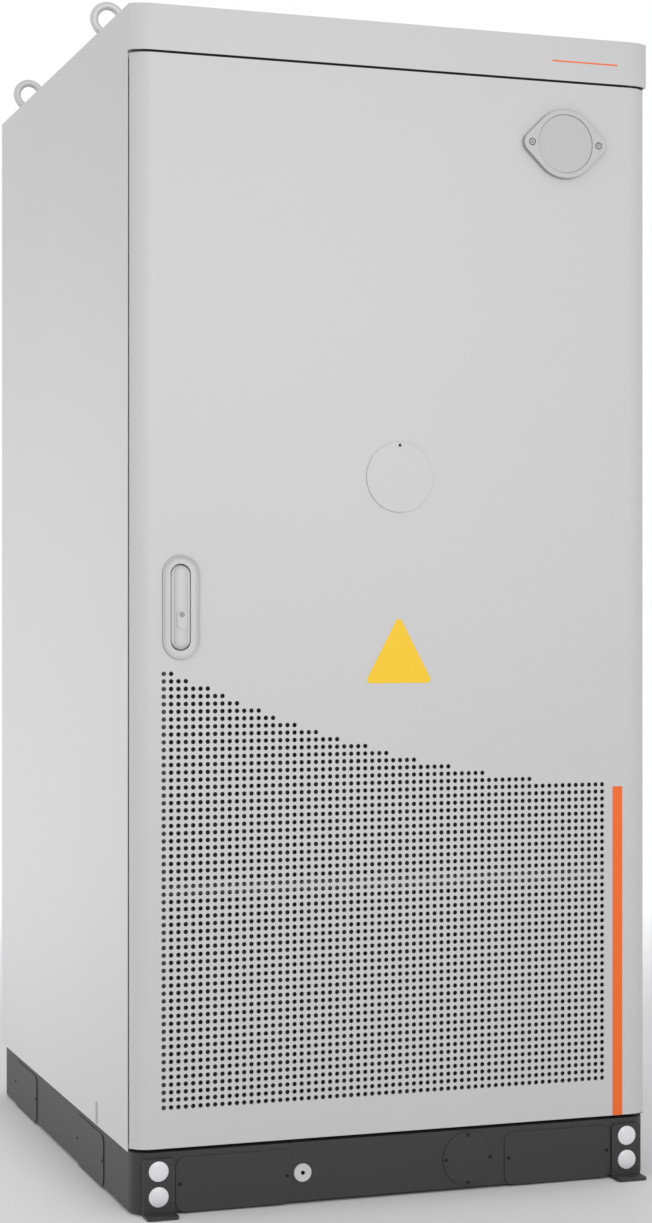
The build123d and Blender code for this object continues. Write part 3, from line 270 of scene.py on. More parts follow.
def fastener(name: str, grey: float, roughness: float, metallic: float) -> Finish:
    """Neutral steel of a small screw or rivet: the level of its grey and its share of metal."""
    return Finish(name, (grey, grey, grey), roughness, Pattern.MOULDED, grain_mm=0.8, bump_mm=0.03,
                  metallic=metallic)


FINISHES = {
    "light_powder_coat": coat("LightCoat", (0.625, 0.622, 0.625)),
    "dark_powder_coat": coat("DarkCoat", (0.033, 0.033, 0.034), 0.62),
    "galvanised_steel": metal("Galvanised", (0.60, 0.61, 0.62), 0.42, Pattern.SPANGLE),
    "bright_steel": metal("ZincPlated", (0.66, 0.66, 0.64), 0.3),
    "black_steel": coat("BlackCoat", (0.016, 0.016, 0.017), 0.5),
    "white_plastic": plastic("WhiteCap", (0.84, 0.83, 0.85), 0.35, shine=0.2),
    "black_plastic": plastic("BlackMoulded", (0.02, 0.02, 0.021)),
    "grey_plastic": plastic("GreyMoulded", (0.24, 0.24, 0.245), 0.5),
    "red_plastic": plastic("RedMoulded", (0.55, 0.012, 0.012), 0.3, shine=0.4),
    "yellow_plastic": plastic("YellowMoulded", (0.90, 0.55, 0.02), 0.4),
    "orange_plastic": plastic("OrangeJacket", (0.90, 0.16, 0.01), 0.42),
    "lens_plastic": plastic("LampGrey", (0.55, 0.55, 0.552), 0.4),
    "rubber": Finish("FoamRubber", (0.022, 0.022, 0.023), 0.85, Pattern.FLEECE, grain_mm=2.2, bump_mm=0.15),
    "filter_fabric": Finish("FilterFleece", (0.030, 0.030, 0.032), 0.95, Pattern.FLEECE, grain_mm=3.0,
                            bump_mm=0.5),
    "aluminium": metal("MillAluminium", (0.70, 0.71, 0.72), 0.38),
    "brass": metal("TurnedBrass", (0.62, 0.45, 0.18), 0.32),
    "red_paint": Finish("RedEnamel", (0.48, 0.012, 0.012), 0.25, Pattern.ENAMEL, grain_mm=5.0, bump_mm=0.05,
                        coat=0.6),
}
DULL_ZINC = Finish("DullZinc", (0.63, 0.63, 0.635), 0.5, Pattern.MOULDED, grain_mm=1.4, bump_mm=0.06,
                   variation=0.05, metallic=0.35)
# near-black and matte: partly the black of the steel, partly painted shade of the sockets and holes that these
# small parts sit in
BLACK_AND_HOLE_SHADE = fastener("BlackScrewHoleShade", 0.006, 0.85, metallic=0.0)
SCREW = fastener("ScrewSteel", 0.42, 0.35, metallic=0.5)
RIVET = fastener("RivetSteel", 0.30, 0.5, metallic=0.2)
# darker grey: painted shade of the recess round each side slit
SLIT_SHADE = plastic("SlitShadeEdging", (0.42, 0.41, 0.415), 0.5)
# darker copy of the lamp's grey: painted shade on the side wall of the lamp
SHADED_SKIRT = plastic("LampSkirtShade", (0.36, 0.36, 0.362), 0.5)
LENS = plastic("LampDisc", (0.535, 0.535, 0.538), 0.35)
ACCENT = Finish("OrangeStripe", (0.95, 0.155, 0.012), 0.5, Pattern.ENAMEL, grain_mm=1.4, bump_mm=0.05,
                variation=0.02)
SIGN = Finish("YellowPlate", (0.97, 0.61, 0.012), 0.45, Pattern.ENAMEL, grain_mm=1.8, bump_mm=0.04,
              variation=0.02)
FLOOR = Finish("StudioFloor", (0.93, 0.93, 0.93), 0.7, Pattern.ENAMEL, grain_mm=40.0, bump_mm=0.02,
               variation=0.004)


@dataclass
class Surface:
    """Vertices in millimetres and faces of one closed form."""

    verts: np.ndarray
    faces: list[tuple[int, ...]]

    def __add__(self, other: "Surface") -> "Surface":
        """Both forms in one.

        Args:
            other: the form to add.
        Returns:
            The joined form.
        """
        shift = len(self.verts)
        shifted = [tuple(i + shift for i in face) for face in other.faces]
        return Surface(np.vstack([self.verts, other.verts]), self.faces + shifted)

    def moved(self, x: float = 0.0, y: float = 0.0, z: float = 0.0) -> "Surface":
        """A copy shifted to the right, to the back and up."""
        return Surface(self.verts + np.array([x, y, z]), self.faces)

    def mirrored(self, axis: Axis) -> "Surface":
        """A copy mirrored about the origin along an axis."""
        return Surface(self.verts * np.where(np.arange(3) == axis.value, -1, 1), self.faces)

    def sideways(self) -> "Surface":
        """A copy whose x and y change places, so that a form in the front plane lies in the side plane."""
        return Surface(self.verts[:, [1, 0, 2]], self.faces)


def joined(forms: Iterable[Surface]) -> Surface:
    """All the forms in one, in their order."""
    return functools.reduce(operator.add, forms)


@dataclass(frozen=True)
class Outline:
    """Rounded convex outline: the hull of discs (x, z, radius).

    For each direction u the outline's point is c + (r - inset) u, with the disc that reaches furthest along u.
    """

    discs: tuple[Triple, ...]
    steps: int = 96

    def points(self, inset: float = 0.0) -> np.ndarray:
        """Points round the outline.

        Args:
            inset: how far the outline is drawn in.
        Returns:
            An array of (x, z).
        """
        turn = np.linspace(0, 2 * math.pi, self.steps, endpoint=False)
        ways = np.column_stack([np.cos(turn), np.sin(turn)])
        discs = np.array(self.discs)
        best = np.argmax(ways @ discs[:, :2].T + discs[:, 2], axis=1)
        return discs[best, :2] + (discs[best, 2:] - inset) * ways


def disc(x: float, z: float, radius: float, steps: int = 64) -> Outline:
    """Circle about (x, z) as an outline with a number of steps."""
    return Outline(((x, z, radius),), steps)


def upright_slot(x: float, z: float, width: float, length: float, steps: int = 96) -> Outline:
    """Upright obround about (x, z), with its length taken over the round ends."""
    reach = (length - width) / 2
    return Outline(((x, z + reach, width / 2), (x, z - reach, width / 2)), steps)


def rounded_box(x: float, z: float, width: float, height: float, radius: float, steps: int = 64) -> Outline:
    """Rectangle about (x, z) with rounded corners."""
    reach_x, reach_z = width / 2 - radius, height / 2 - radius
    return Outline(tuple((x + i * reach_x, z + j * reach_z, radius) for i in (-1, 1) for j in (-1, 1)), steps)


def ring_faces(rows: int, steps: int, closed: bool) -> list[tuple[int, ...]]:
    """Quads between rings of equal length.

    Args:
        rows: number of rings.
        steps: points in each ring.
        closed: whether the last ring joins the first.
    Returns:
        The faces.
    """
    i = np.arange(rows if closed else rows - 1)[:, None]
    k = np.arange(steps)[None, :]
    up = (i + 1) % rows
    across = (k + 1) % steps
    quads = np.stack([i * steps + k, i * steps + across, up * steps + across, up * steps + k], axis=-1)
    return [tuple(quad) for quad in quads.reshape(-1, 4).tolist()]


def triangles(loops: Sequence[np.ndarray]) -> list[tuple[int, int, int]]:
    """Triangles between an outer loop and the loops of its holes, numbered through all the loops."""
    return tessellate_polygon([[Vector((x, z, 0)) for x, z in loop] for loop in loops])


def plate(outer: Outline, seat: float, edge: Profile, holes: Sequence[tuple[Outline, Profile]] = ()) -> Surface:
    """Plate that faces the front, with a shaped edge and shaped holes.

    Each ring of an edge is outline.points(inset) at the depth y = seat - height. The first and the last rings are
    filled, less the holes.

    Args:
        outer: the plate's outline.
        seat: depth that heights are taken from.
        edge: (inset, height) from the back to the front.
        holes: an outline and its own (inset, height) list for each hole.
    Returns:
        The closed form.
    """
    verts, faces, fronts, backs = [], [], [], []
    count = 0
    for outline, levels in ((outer, edge), *holes):
        rings = [outline.points(inset) for inset, _ in levels]
        verts += [np.insert(ring, 1, seat - height, axis=1) for ring, (_, height) in zip(rings, levels)]
        faces += [tuple(i + count for i in face) for face in ring_faces(len(levels), outline.steps, False)]
        backs.append((rings[0], count))
        count += len(levels) * outline.steps
        fronts.append((rings[-1], count - outline.steps))
    for group in (backs, fronts):
        index = np.concatenate([start + np.arange(len(ring)) for ring, start in group])
        faces += [tuple(face) for face in index[np.array(triangles([ring for ring, _ in group]))].tolist()]
    return Surface(np.vstack(verts), faces)


def band(outline: Outline, seat: float, insets: Point, heights: Point) -> Surface:
    """Closed wall along an outline, from the outer to the inner inset and from the back to the front height."""
    outer, inner = ([(inset, height) for height in heights] for inset in insets)
    return plate(outline, seat, outer, [(outline, inner)])


def prism(points: Profile, low: float, high: float, axis: Axis = Axis.Z) -> Surface:
    """Straight prism on a polygon.

    Args:
        points: corners of the polygon; (x, y) for Z, (x, z) for Y and (y, z) for X.
        low: start along the axis.
        high: end along the axis.
        axis: direction of the prism.
    Returns:
        The closed form.
    """
    flat = np.array(points, dtype=float)
    rings = [np.insert(flat, axis.value, at, axis=1) for at in (low, high)]
    count = len(flat)
    faces = ring_faces(2, count, False)
    faces += [tuple(range(count)), tuple(range(count, 2 * count))]
    return Surface(np.vstack(rings), faces)


def block(x: Point, y: Point, z: Point) -> Surface:
    """Box between a range across, one in depth and one in height."""
    return prism([(x[0], y[0]), (x[1], y[0]), (x[1], y[1]), (x[0], y[1])], *z)


def turned(profile: Profile, centre: Triple, axis: Axis, steps: int = 48, ring: bool = False) -> Surface:
    """Surface of revolution.

    Point (r, h) of the profile at angle t is centre + r (cos t, sin t) across the axis + h along it.

    Args:
        profile: (radius, height) from one end to the other, or round a closed section.
        centre: the axis's zero.
        axis: direction of the axis.
        steps: points round it.
        ring: whether the profile is a closed section.
    Returns:
        The closed form.
    """
    turn = np.linspace(0, 2 * math.pi, steps, endpoint=False)
    rings = []
    for radius, height in profile:
        flat = np.column_stack([radius * np.cos(turn), radius * np.sin(turn)])
        rings.append(np.insert(flat, axis.value, height, axis=1))
    faces = ring_faces(len(profile), steps, ring)
    if not ring:
        last = (len(profile) - 1) * steps
        faces += [tuple(range(steps)), tuple(range(last, last + steps))]
    return Surface(np.vstack(rings) + np.array(centre), faces)


def stud(profile: Profile, place: Point, seat: float, steps: int, ring: bool = False) -> Surface:
    """Turned form about (x, z) that points to the front: a height of its profile lies at y = seat - height."""
    x, z = place
    return turned([(radius, -height) for radius, height in profile], (x, seat, z), Axis.Y, steps, ring)


def piece(name: str, form: Surface, body: str, slot: str, *replaced: str, finish: Finish | None = None) -> None:
    """Make an object of a form and tie it to the frame.

    Args:
        name: the piece's name.
        form: its form in millimetres.
        body: the body it rides on.
        slot: the record's material slot.
        replaced: CAD nodes that it stands for.
        finish: its material, where it isn't the slot's.
    """
    mesh = bpy.data.meshes.new(name)
    mesh.from_pydata((form.verts * MM).tolist(), [], form.faces)
    work = bmesh.new()
    work.from_mesh(mesh)
    bmesh.ops.remove_doubles(work, verts=work.verts, dist=MERGE_MM * MM)
    bmesh.ops.recalc_face_normals(work, faces=work.faces)
    work.to_mesh(mesh)
    work.free()
    mesh.shade_smooth()
    mesh.set_sharp_from_angle(angle=math.radians(SMOOTH_DEGREES))
    mesh.materials.append((finish or FINISHES[slot]).material())
    made = bpy.data.objects.new(name, mesh)
    bpy.context.scene.collection.objects.link(made)
    weight = made.modifiers.new("FaceWeight", "WEIGHTED_NORMAL")
    weight.keep_sharp = True
    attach(made, body)
    if replaced:
        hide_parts(*replaced)
    LOG.info("%s: %d faces", name, len(mesh.polygons))


def node_box(name: str) -> tuple[np.ndarray, np.ndarray]:
    """Lowest and highest corner of a CAD node in millimetres."""
    low, high = (np.array(corner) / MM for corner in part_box(name))
    return low, high


@dataclass(frozen=True)
class Body:
    """Main sizes of the cabinet in millimetres, and the places (x, z) on its door, shared by its parts."""

    half_width: float = 550.0
    front: float = -655.0
    skin: float = 2.0
    corner_run: float = 45.0
    door_seam: float = 31.0
    hood_radius: float = 75.0
    door_back: float = -627.0
    door_low: float = 129.0
    door_high: float = 2250.5
    hood_low: float = 2255.6
    hood_high: float = 2343.0
    crease: float = -640.0
    frame_front: float = -604.0
    frame_wall: float = 3.0
    top: float = 2345.0
    handle: Point = (-450.0, 1177.0)
    stop: Point = (0.0, 1437.0)
    stop_rivet: Point = (0.0, 1501.0)
    lamp: Point = (357.0, 2124.0)
    arc_steps: int = 14

    @property
    def flat_x(self) -> float:
        """Where the flat front ends and its arcs begin."""
        return self.half_width - self.corner_run

    @property
    def door_radius(self) -> float:
        """Radius of the arc that falls by the seam's depth over the corner's run: (run^2 + seam^2) / (2 seam)."""
        return (self.corner_run**2 + self.door_seam**2) / (2 * self.door_seam)

    def bow(self, end_y: float, bend: float, inset: float = 0.0) -> list[Point]:
        """Right-hand end of the bowed front in plan.

        Points lie on x = flat_x + r sin t, y = front + R - r cos t, with r = R - inset, from the flat front to
        end_y.

        Args:
            end_y: depth where the arc ends.
            bend: radius R of the outer face.
            inset: distance behind the outer face.
        Returns:
            The points from the front to the back.
        """
        middle = self.front + bend
        radius = bend - inset
        turn = np.linspace(0, math.acos((middle - end_y) / radius), self.arc_steps)
        return list(zip(self.flat_x + radius * np.sin(turn), middle - radius * np.cos(turn)))


SIZE = Body()


def to_left(points: Sequence[Point]) -> list[Point]:
    """Points in plan mirrored to the left-hand side, in the opposite order."""
    return [(-x, y) for x, y in reversed(points)]


@dataclass
class DoorSkin:
    """Folded door sheet with the round holes of the air intake, in millimetres."""

    pitch: float = 14.74
    hole: float = 9.4
    columns: int = 64
    first_x: float = -485.0
    first_z: float = 208.0
    rows_right: float = 41.85
    rows_rise: float = 16.35
    rows_power: float = 1.8
    hole_sides: int = 12
    side_flange: float = 490.0
    end_flange: float = 75.0
    corner: Point = (5.0, 4.0)
    corner_steps: int = 4
    handle_hole: Point = (69.0, 197.6)
    stop_hole: float = 45.0
    rivet_hole: float = 2.5
    lamp_hole: float = 56.0

    def openings(self) -> list[Outline]:
        """Openings behind the handle, the stop button's cover, its rivet and the lamp."""
        return [
            upright_slot(*SIZE.handle, *self.handle_hole, steps=64),
            disc(*SIZE.stop, self.stop_hole),
            disc(*SIZE.stop_rivet, self.rivet_hole, steps=16),
            disc(*SIZE.lamp, self.lamp_hole),
        ]

    def rows(self) -> np.ndarray:
        """Holes in each column: round(right + rise (1 - i / last) ** power)."""
        share = 1 - np.arange(self.columns) / (self.columns - 1)
        return np.rint(self.rows_right + self.rows_rise * share**self.rows_power).astype(int)

    def field_border(self) -> np.ndarray:
        """Stepped border of the hole field, with a point at every cell corner.

        Returns:
            An array of (x, z) round the field.
        """
        rows = self.rows()
        path = [(i, 0) for i in range(self.columns + 1)]
        level = 0
        for column in reversed(range(self.columns)):
            step = 1 if rows[column] > level else -1
            path += [(column + 1, j) for j in range(level + step, rows[column] + step, step)]
            level = rows[column]
            path.append((column, level))
        path += [(0, j) for j in range(level - 1, 0, -1)]
        start = np.array([self.first_x, self.first_z]) - self.pitch / 2
        return start + np.array(path) * self.pitch

    def cells(self) -> Surface:
        """The hole field: each cell is a square of sheet round a many-sided hole, on both faces.

        The corners and the hole's points go round the cell from its lower left at even angles. Each quarter of a
        face joins two corners with the hole's points between them.

        Returns:
            The faces of the field, open along its border.
        """
        rows = self.rows()
        column = np.repeat(np.arange(self.columns), rows)
        row = np.concatenate([np.arange(count) for count in rows])
        middle = np.array([self.first_x, self.first_z]) + np.column_stack([column, row]) * self.pitch
        lower_left = math.radians(225)
        corner = lower_left + np.arange(4) * math.pi / 2
        rim = lower_left + np.arange(self.hole_sides) * 2 * math.pi / self.hole_sides
        shape = np.vstack([
            np.column_stack([np.cos(corner), np.sin(corner)]) * self.pitch / math.sqrt(2),
            np.column_stack([np.cos(rim), np.sin(rim)]) * self.hole / 2,
        ])
        flat = (middle[:, None, :] + shape[None]).reshape(-1, 2)
        layers = [np.insert(flat, 1, y, axis=1) for y in (SIZE.front, SIZE.front + SIZE.skin)]
        total, arc = len(flat), self.hole_sides // 4
        ring = [len(corner) + k % self.hole_sides for k in range(self.hole_sides + 1)]
        quarters = np.array([(q, (q + 1) % 4, *reversed(ring[arc * q:arc * q + arc + 1])) for q in range(4)])
        walls = np.array([(a, b, total + b, total + a) for a, b in zip(ring, ring[1:])])
        starts = np.arange(0, total, len(shape))[:, None, None]
        faces = []
        for pattern in (quarters, quarters + total, walls):
            faces += [tuple(face) for face in (starts + pattern).reshape(-1, pattern.shape[1]).tolist()]
        return Surface(np.vstack(layers), faces)

    def front_sheet(self) -> Surface:
        """The flat front round the hole field, with the walls of its openings.

        Returns:
            The faces, open along the field and along the two bows.
        """
        x, low, high = SIZE.flat_x, SIZE.door_low, SIZE.door_high
        loops = [np.array([(-x, low), (x, low), (x, high), (-x, high)]), self.field_border()]
        loops += [shape.points() for shape in self.openings()]
        flat = np.vstack(loops)
        total = len(flat)
        layers = [np.insert(flat, 1, y, axis=1) for y in (SIZE.front, SIZE.front + SIZE.skin)]
        tris = triangles(loops)
        faces = [tuple(tri) for tri in tris] + [tuple(i + total for i in tri) for tri in tris]
        faces += [(0, 1, total + 1, total), (2, 3, total + 3, total + 2)]
        start = len(loops[0]) + len(loops[1])
        for loop in loops[2:]:
            ring = list(range(start, start + len(loop)))
            faces += [(a, b, total + b, total + a) for a, b in zip(ring, ring[1:] + ring[:1])]
            start += len(loop)
        return Surface(np.vstack(layers), faces)

    def side(self) -> Surface:
        """Right-hand bow, rounded back corner and folded flange, open where it meets the front sheet.

        The corner is the curve (1 - t)^2 a + 2 t (1 - t) b + t^2 c between the bow's end a, the sharp corner b and
        the flange's start c.

        Returns:
            The faces.
        """
        bend, back = SIZE.door_radius, SIZE.door_back
        corner_run, corner_depth = self.corner
        outer = SIZE.bow(back - corner_depth, bend)
        corner_x = SIZE.bow(back, bend)[-1][0]
        start, sharp, end = np.array([outer[-1], (corner_x, back), (corner_x - corner_run, back)])
        share = (1 + np.arange(self.corner_steps))[:, None] / self.corner_steps
        corner = (1 - share) ** 2 * start + 2 * share * (1 - share) * sharp + share**2 * end
        flange = [(self.side_flange, back), (self.side_flange, back - SIZE.skin)]
        loop = [*outer, *corner, *flange, *reversed(SIZE.bow(back - SIZE.skin, bend, SIZE.skin))]
        form = prism(loop, SIZE.door_low, SIZE.door_high)
        seam = len(loop) - 1
        form.faces = [face for face in form.faces if not (len(face) == 4 and seam in face and 0 in face)]
        return form

    def build(self) -> None:
        """The whole sheet, closed, in place of the slotted solid."""
        side = self.side()
        inner = SIZE.bow(SIZE.door_back - SIZE.skin, SIZE.door_radius, SIZE.skin)
        plan = inner + to_left(inner)
        back = (SIZE.door_back - SIZE.skin, SIZE.door_back)
        inside = (-self.side_flange, self.side_flange)
        low, high, skin = SIZE.door_low, SIZE.door_high, SIZE.skin
        form = joined([
            self.cells(), self.front_sheet(), side, side.mirrored(Axis.X),
            prism(plan, low, low + skin), prism(plan, high - skin, high),
            block(inside, back, (low + skin, low + self.end_flange)),
            block(inside, back, (high - self.end_flange, high - skin)),
        ])
        piece("door_sheet", form, "door", "light_powder_coat", "door_skin")


@dataclass
class Handle:
    """Flush handle, in millimetres.

    Slots are (width, length), profiles (inset or radius, height in front of the door), and places are taken
    upwards from the handle's middle.
    """

    bezel: Point = (74.6, 203.2)
    rim: Profile = ((3, -5.5), (3, 0), (0, 0), (0, 4.5), (0.35, 4.9))
    recess: Point = (40.4, 169.5)
    recess_lip: Profile = ((0, -5.5), (0, -3.8), (-0.3, -3.5))
    dish_start: float = 0.9
    dish_width: float = 9.6
    dish_power: float = 2.2
    low: float = -3.5
    crown: float = 8.5
    rows: int = 14
    cup_insets: Point = (-4.8, 0.0)
    cup_back: float = -23.0
    cup_floor: float = -20.0
    shade_gasket_insets: Point = (-0.3, 1.3)
    shade_gasket_thick: float = 0.6
    lever_back: float = -5.0
    base: Point = (38.0, 162.5)
    base_edge: Profile = ((0, -5), (0, -4.8), (2.2, -3))
    barrel: Point = (28.4, 159.0)
    barrel_top: float = 0.93
    barrel_power: float = 1.4
    boss: Profile = ((8.9, -2), (8.9, -13))
    boss_up: float = -30.0
    pin_radius: float = 1.6
    pin_half: float = 19.4
    pin_up: float = 62.5
    rivet: Profile = ((2.5, 3), (2.5, 7.6), (5, 7.6), (5, 8.4), (4.2, 9), (3.6, 8.7), (1.2, 8.9))
    rivet_up: float = -14.0

    def build_bezel(self) -> None:
        """Dished bezel with its deep cup, on a thin black gasket whose rim, just past the bezel, is a painted
        shade line round it.

        The dish falls from the rim: at share u of its width its height is low + crown (1 - u) ** power.
        """
        outline = upright_slot(*SIZE.handle, *self.bezel)
        recess = upright_slot(*SIZE.handle, *self.recess)
        dish = [(self.dish_start + self.dish_width * u, self.low + self.crown * (1 - u) ** self.dish_power)
                for u in np.linspace(0, 1, self.rows)]
        collar = plate(outline, SIZE.front, [*self.rim, *dish], [(recess, self.recess_lip)])
        collar += band(recess, SIZE.front, self.cup_insets, (self.cup_back, self.rim[0][1]))
        collar += plate(recess, SIZE.front, [(0, self.cup_back), (0, self.cup_floor)])
        piece("handle_collar", collar, "door", "light_powder_coat", "handle_bezel")
        # painted shade: the black gasket reaches just past the bezel, to draw the dark contact line round it
        gasket = band(outline, SIZE.front, self.shade_gasket_insets, (0, self.shade_gasket_thick))
        piece("handle_shade_gasket", gasket, "door", "rubber")

    def build_lever(self) -> None:
        """Lever with its round barrel, pivot pin, lock boss and rivet.

        The barrel's section is a half ellipse: at share u from its middle to its rim its height is
        low + crown (1 - u ** 2) ** 0.5.
        """
        x, z = SIZE.handle
        pin = turned([(self.pin_radius, -self.pin_half), (self.pin_radius, self.pin_half)],
                     (x, SIZE.front - self.lever_back, z + self.pin_up), Axis.X, steps=24)
        piece("handle_pivot", pin, "door", "bright_steel", "handle_pin", finish=RIVET)
        share = 1 - np.linspace(0, self.barrel_top, self.rows) ** self.barrel_power
        arch = [(self.barrel[0] / 2 * (1 - u), self.low + self.crown * math.sqrt(1 - u**2)) for u in share]
        lever = plate(upright_slot(x, z, *self.base), SIZE.front, self.base_edge)
        lever += plate(upright_slot(x, z, *self.barrel), SIZE.front, [(0, self.lever_back), *arch])
        lever += stud(self.boss, (x, z + self.boss_up), SIZE.front, steps=32)
        piece("handle_grip", lever, "lever", "light_powder_coat", "handle_lever")
        rivet = stud(self.rivet, (x, z + self.rivet_up), SIZE.front, steps=24)
        piece("handle_rivet", rivet, "lever", "bright_steel", finish=RIVET)

    def build(self) -> None:
        """All pieces of the handle."""
        self.build_bezel()
        self.build_lever()


@dataclass
class Marks:
    """Accent stripe and bare sign plate on the door, in millimetres."""

    stripe_x: Point = (467.0, 489.0)
    stripe_z: Point = (129.2, 807.5)
    stripe_thick: float = 0.25
    sign_x: float = -1.5
    sign_half: float = 67.5
    sign_z: Point = (1025.5, 1153.5)
    sign_radius: float = 7.0
    sign_edge: Profile = ((0, 0), (0, 0.6), (0.2, 0.8))

    def build(self) -> None:
        """Flat stripe, and a triangle with rounded corners."""
        stripe = block(self.stripe_x, (SIZE.front - self.stripe_thick, SIZE.front), self.stripe_z)
        piece("accent_stripe", stripe, "door", "orange_plastic", finish=ACCENT)
        radius, spread = self.sign_radius, self.sign_half - self.sign_radius
        base, apex = self.sign_z[0] + radius, self.sign_z[1] - radius
        feet = [(self.sign_x + side * spread, base, radius) for side in (-1, 1)]
        outline = Outline(((self.sign_x, apex, radius), *feet), steps=72)
        triangle = plate(outline, SIZE.front, self.sign_edge)
        piece("sign_plate", triangle, "door", "yellow_plastic", finish=SIGN)


@dataclass
class StopCover:
    """Swing cover of the stop button, in millimetres; profiles are (inset or radius, height off the door)."""

    radius: float = 70.0
    edge: Profile = ((0, 1), (0, 2.7), (0.12, 2.9), (0.35, 3))
    bore: float = 2.55
    bore_edge: Profile = ((0, 1), (0, 3))
    rivet: Profile = ((2.5, -7), (2.5, 3.2), (2.9, 3.2), (2.9, 4), (2.5, 4.5), (1, 4.8))

    def build(self) -> None:
        """Smooth round cover and the rivet that it hangs from."""
        bore = disc(*SIZE.stop_rivet, self.bore, steps=16)
        cover = plate(disc(*SIZE.stop, self.radius, steps=128), SIZE.front, self.edge, [(bore, self.bore_edge)])
        piece("stop_flap_disc", cover, "stop_flap", "light_powder_coat", "stop_cover")
        rivet = stud(self.rivet, SIZE.stop_rivet, SIZE.front, steps=24)
        piece("stop_rivet_dome", rivet, "door", "black_steel", "stop_rivet", finish=BLACK_AND_HOLE_SHADE)


@dataclass
class Lamp:
    """Door lamp, in millimetres; profiles are (inset or radius, height off the door)."""

    radius: float = 70.5
    ear_x: float = 69.0
    ear_radius: float = 22.0
    edge: Profile = ((0.65, 9), (0.65, 11.4), (0.8, 11.8), (1.2, 12))
    seat: float = 60.0
    seat_edge: Profile = ((0, 9), (0, 11.7), (-0.3, 12))
    bore_x: float = 73.5
    bore: float = 7.5
    bore_edge: Profile = ((0, 9), (0, 11.6), (-0.4, 12))
    skirt_edge: Profile = ((0, 0.1), (0, 11.2), (0.2, 11.4))
    skirt_inside: Profile = ((0.6, 0.1), (0.6, 11.4))
    lens: float = 59.2
    lens_edge: Profile = ((0, 9), (0, 10), (0.3, 10.35), (0.8, 10.5))
    head: Profile = ((5.5, 9), (5.5, 11.2), (5, 11.7), (3.2, 11.7), (1.2, 10), (0.8, 9.4))

    def build(self) -> None:
        """Two-eared flange with its bores, the grey skirt round its spacer, whose darker grey is painted shade on
        the lamp's side wall, the lens and the screw heads.
        """
        x, z = SIZE.lamp
        ears = [(x + side * self.ear_x, z, self.ear_radius) for side in (-1, 1)]
        hull = Outline(((x, z, self.radius), *ears), steps=160)
        bores = [(x + side * self.bore_x, z) for side in (-1, 1)]
        holes = [(disc(x, z, self.seat, steps=128), self.seat_edge)]
        holes += [(disc(*bore, self.bore, steps=32), self.bore_edge) for bore in bores]
        flange = plate(hull, SIZE.front, self.edge, holes)
        piece("lamp_flange", flange, "door", "lens_plastic", "lamp_bezel")
        # painted shade: the skirt's darker grey stands for the shade on the lamp's side wall
        skirt = plate(hull, SIZE.front, self.skirt_edge, [(hull, self.skirt_inside)])
        piece("lamp_skirt", skirt, "door", "grey_plastic", finish=SHADED_SKIRT)
        lens = plate(disc(x, z, self.lens, steps=128), SIZE.front, self.lens_edge)
        piece("lamp_disc", lens, "door", "lens_plastic", "lamp_lens", finish=LENS)
        heads = joined(stud(self.head, bore, SIZE.front, steps=24) for bore in bores)
        piece("lamp_screw_heads", heads, "door", "bright_steel", "lamp_screws", finish=SCREW)


@dataclass
class Hinges:
    """Straps of the two pivot hinges, coloured black as painted shade in the door's gaps, in millimetres; each is
    (low face, thickness, way of its tab).
    """

    pivot: Point = (526.0, -637.0)
    radius: float = 9.0
    nose_steps: int = 17
    tab: float = 60.0
    outside: float = 545.0
    straps: tuple[tuple[float, float, int], ...] = ((123.5, 4.0, 1), (2251.6, 3.0, -1))

    def build(self) -> None:
        """Strap with a round nose, folded into a tab on the door frame, below and above the leaf."""
        x, y = self.pivot
        left, right, back = x - self.radius, x + self.radius, SIZE.frame_front
        turn = np.linspace(math.pi, 2 * math.pi, self.nose_steps)
        nose = np.column_stack([x + self.radius * np.cos(turn), y + self.radius * np.sin(turn)])
        forms = []
        for low, thick, way in self.straps:
            ends = sorted((low if way > 0 else low + thick, low + way * self.tab))
            forms.append(prism([*nose, (right, back), (left, back)], low, low + thick))
            forms.append(block((left, self.outside), (back - SIZE.frame_wall, back), ends))
        # painted shade: the straps get the black finish so that they stay dark in the door's gaps
        piece("hinge_straps", joined(forms), "cabinet", "black_steel", "hinge_brackets")


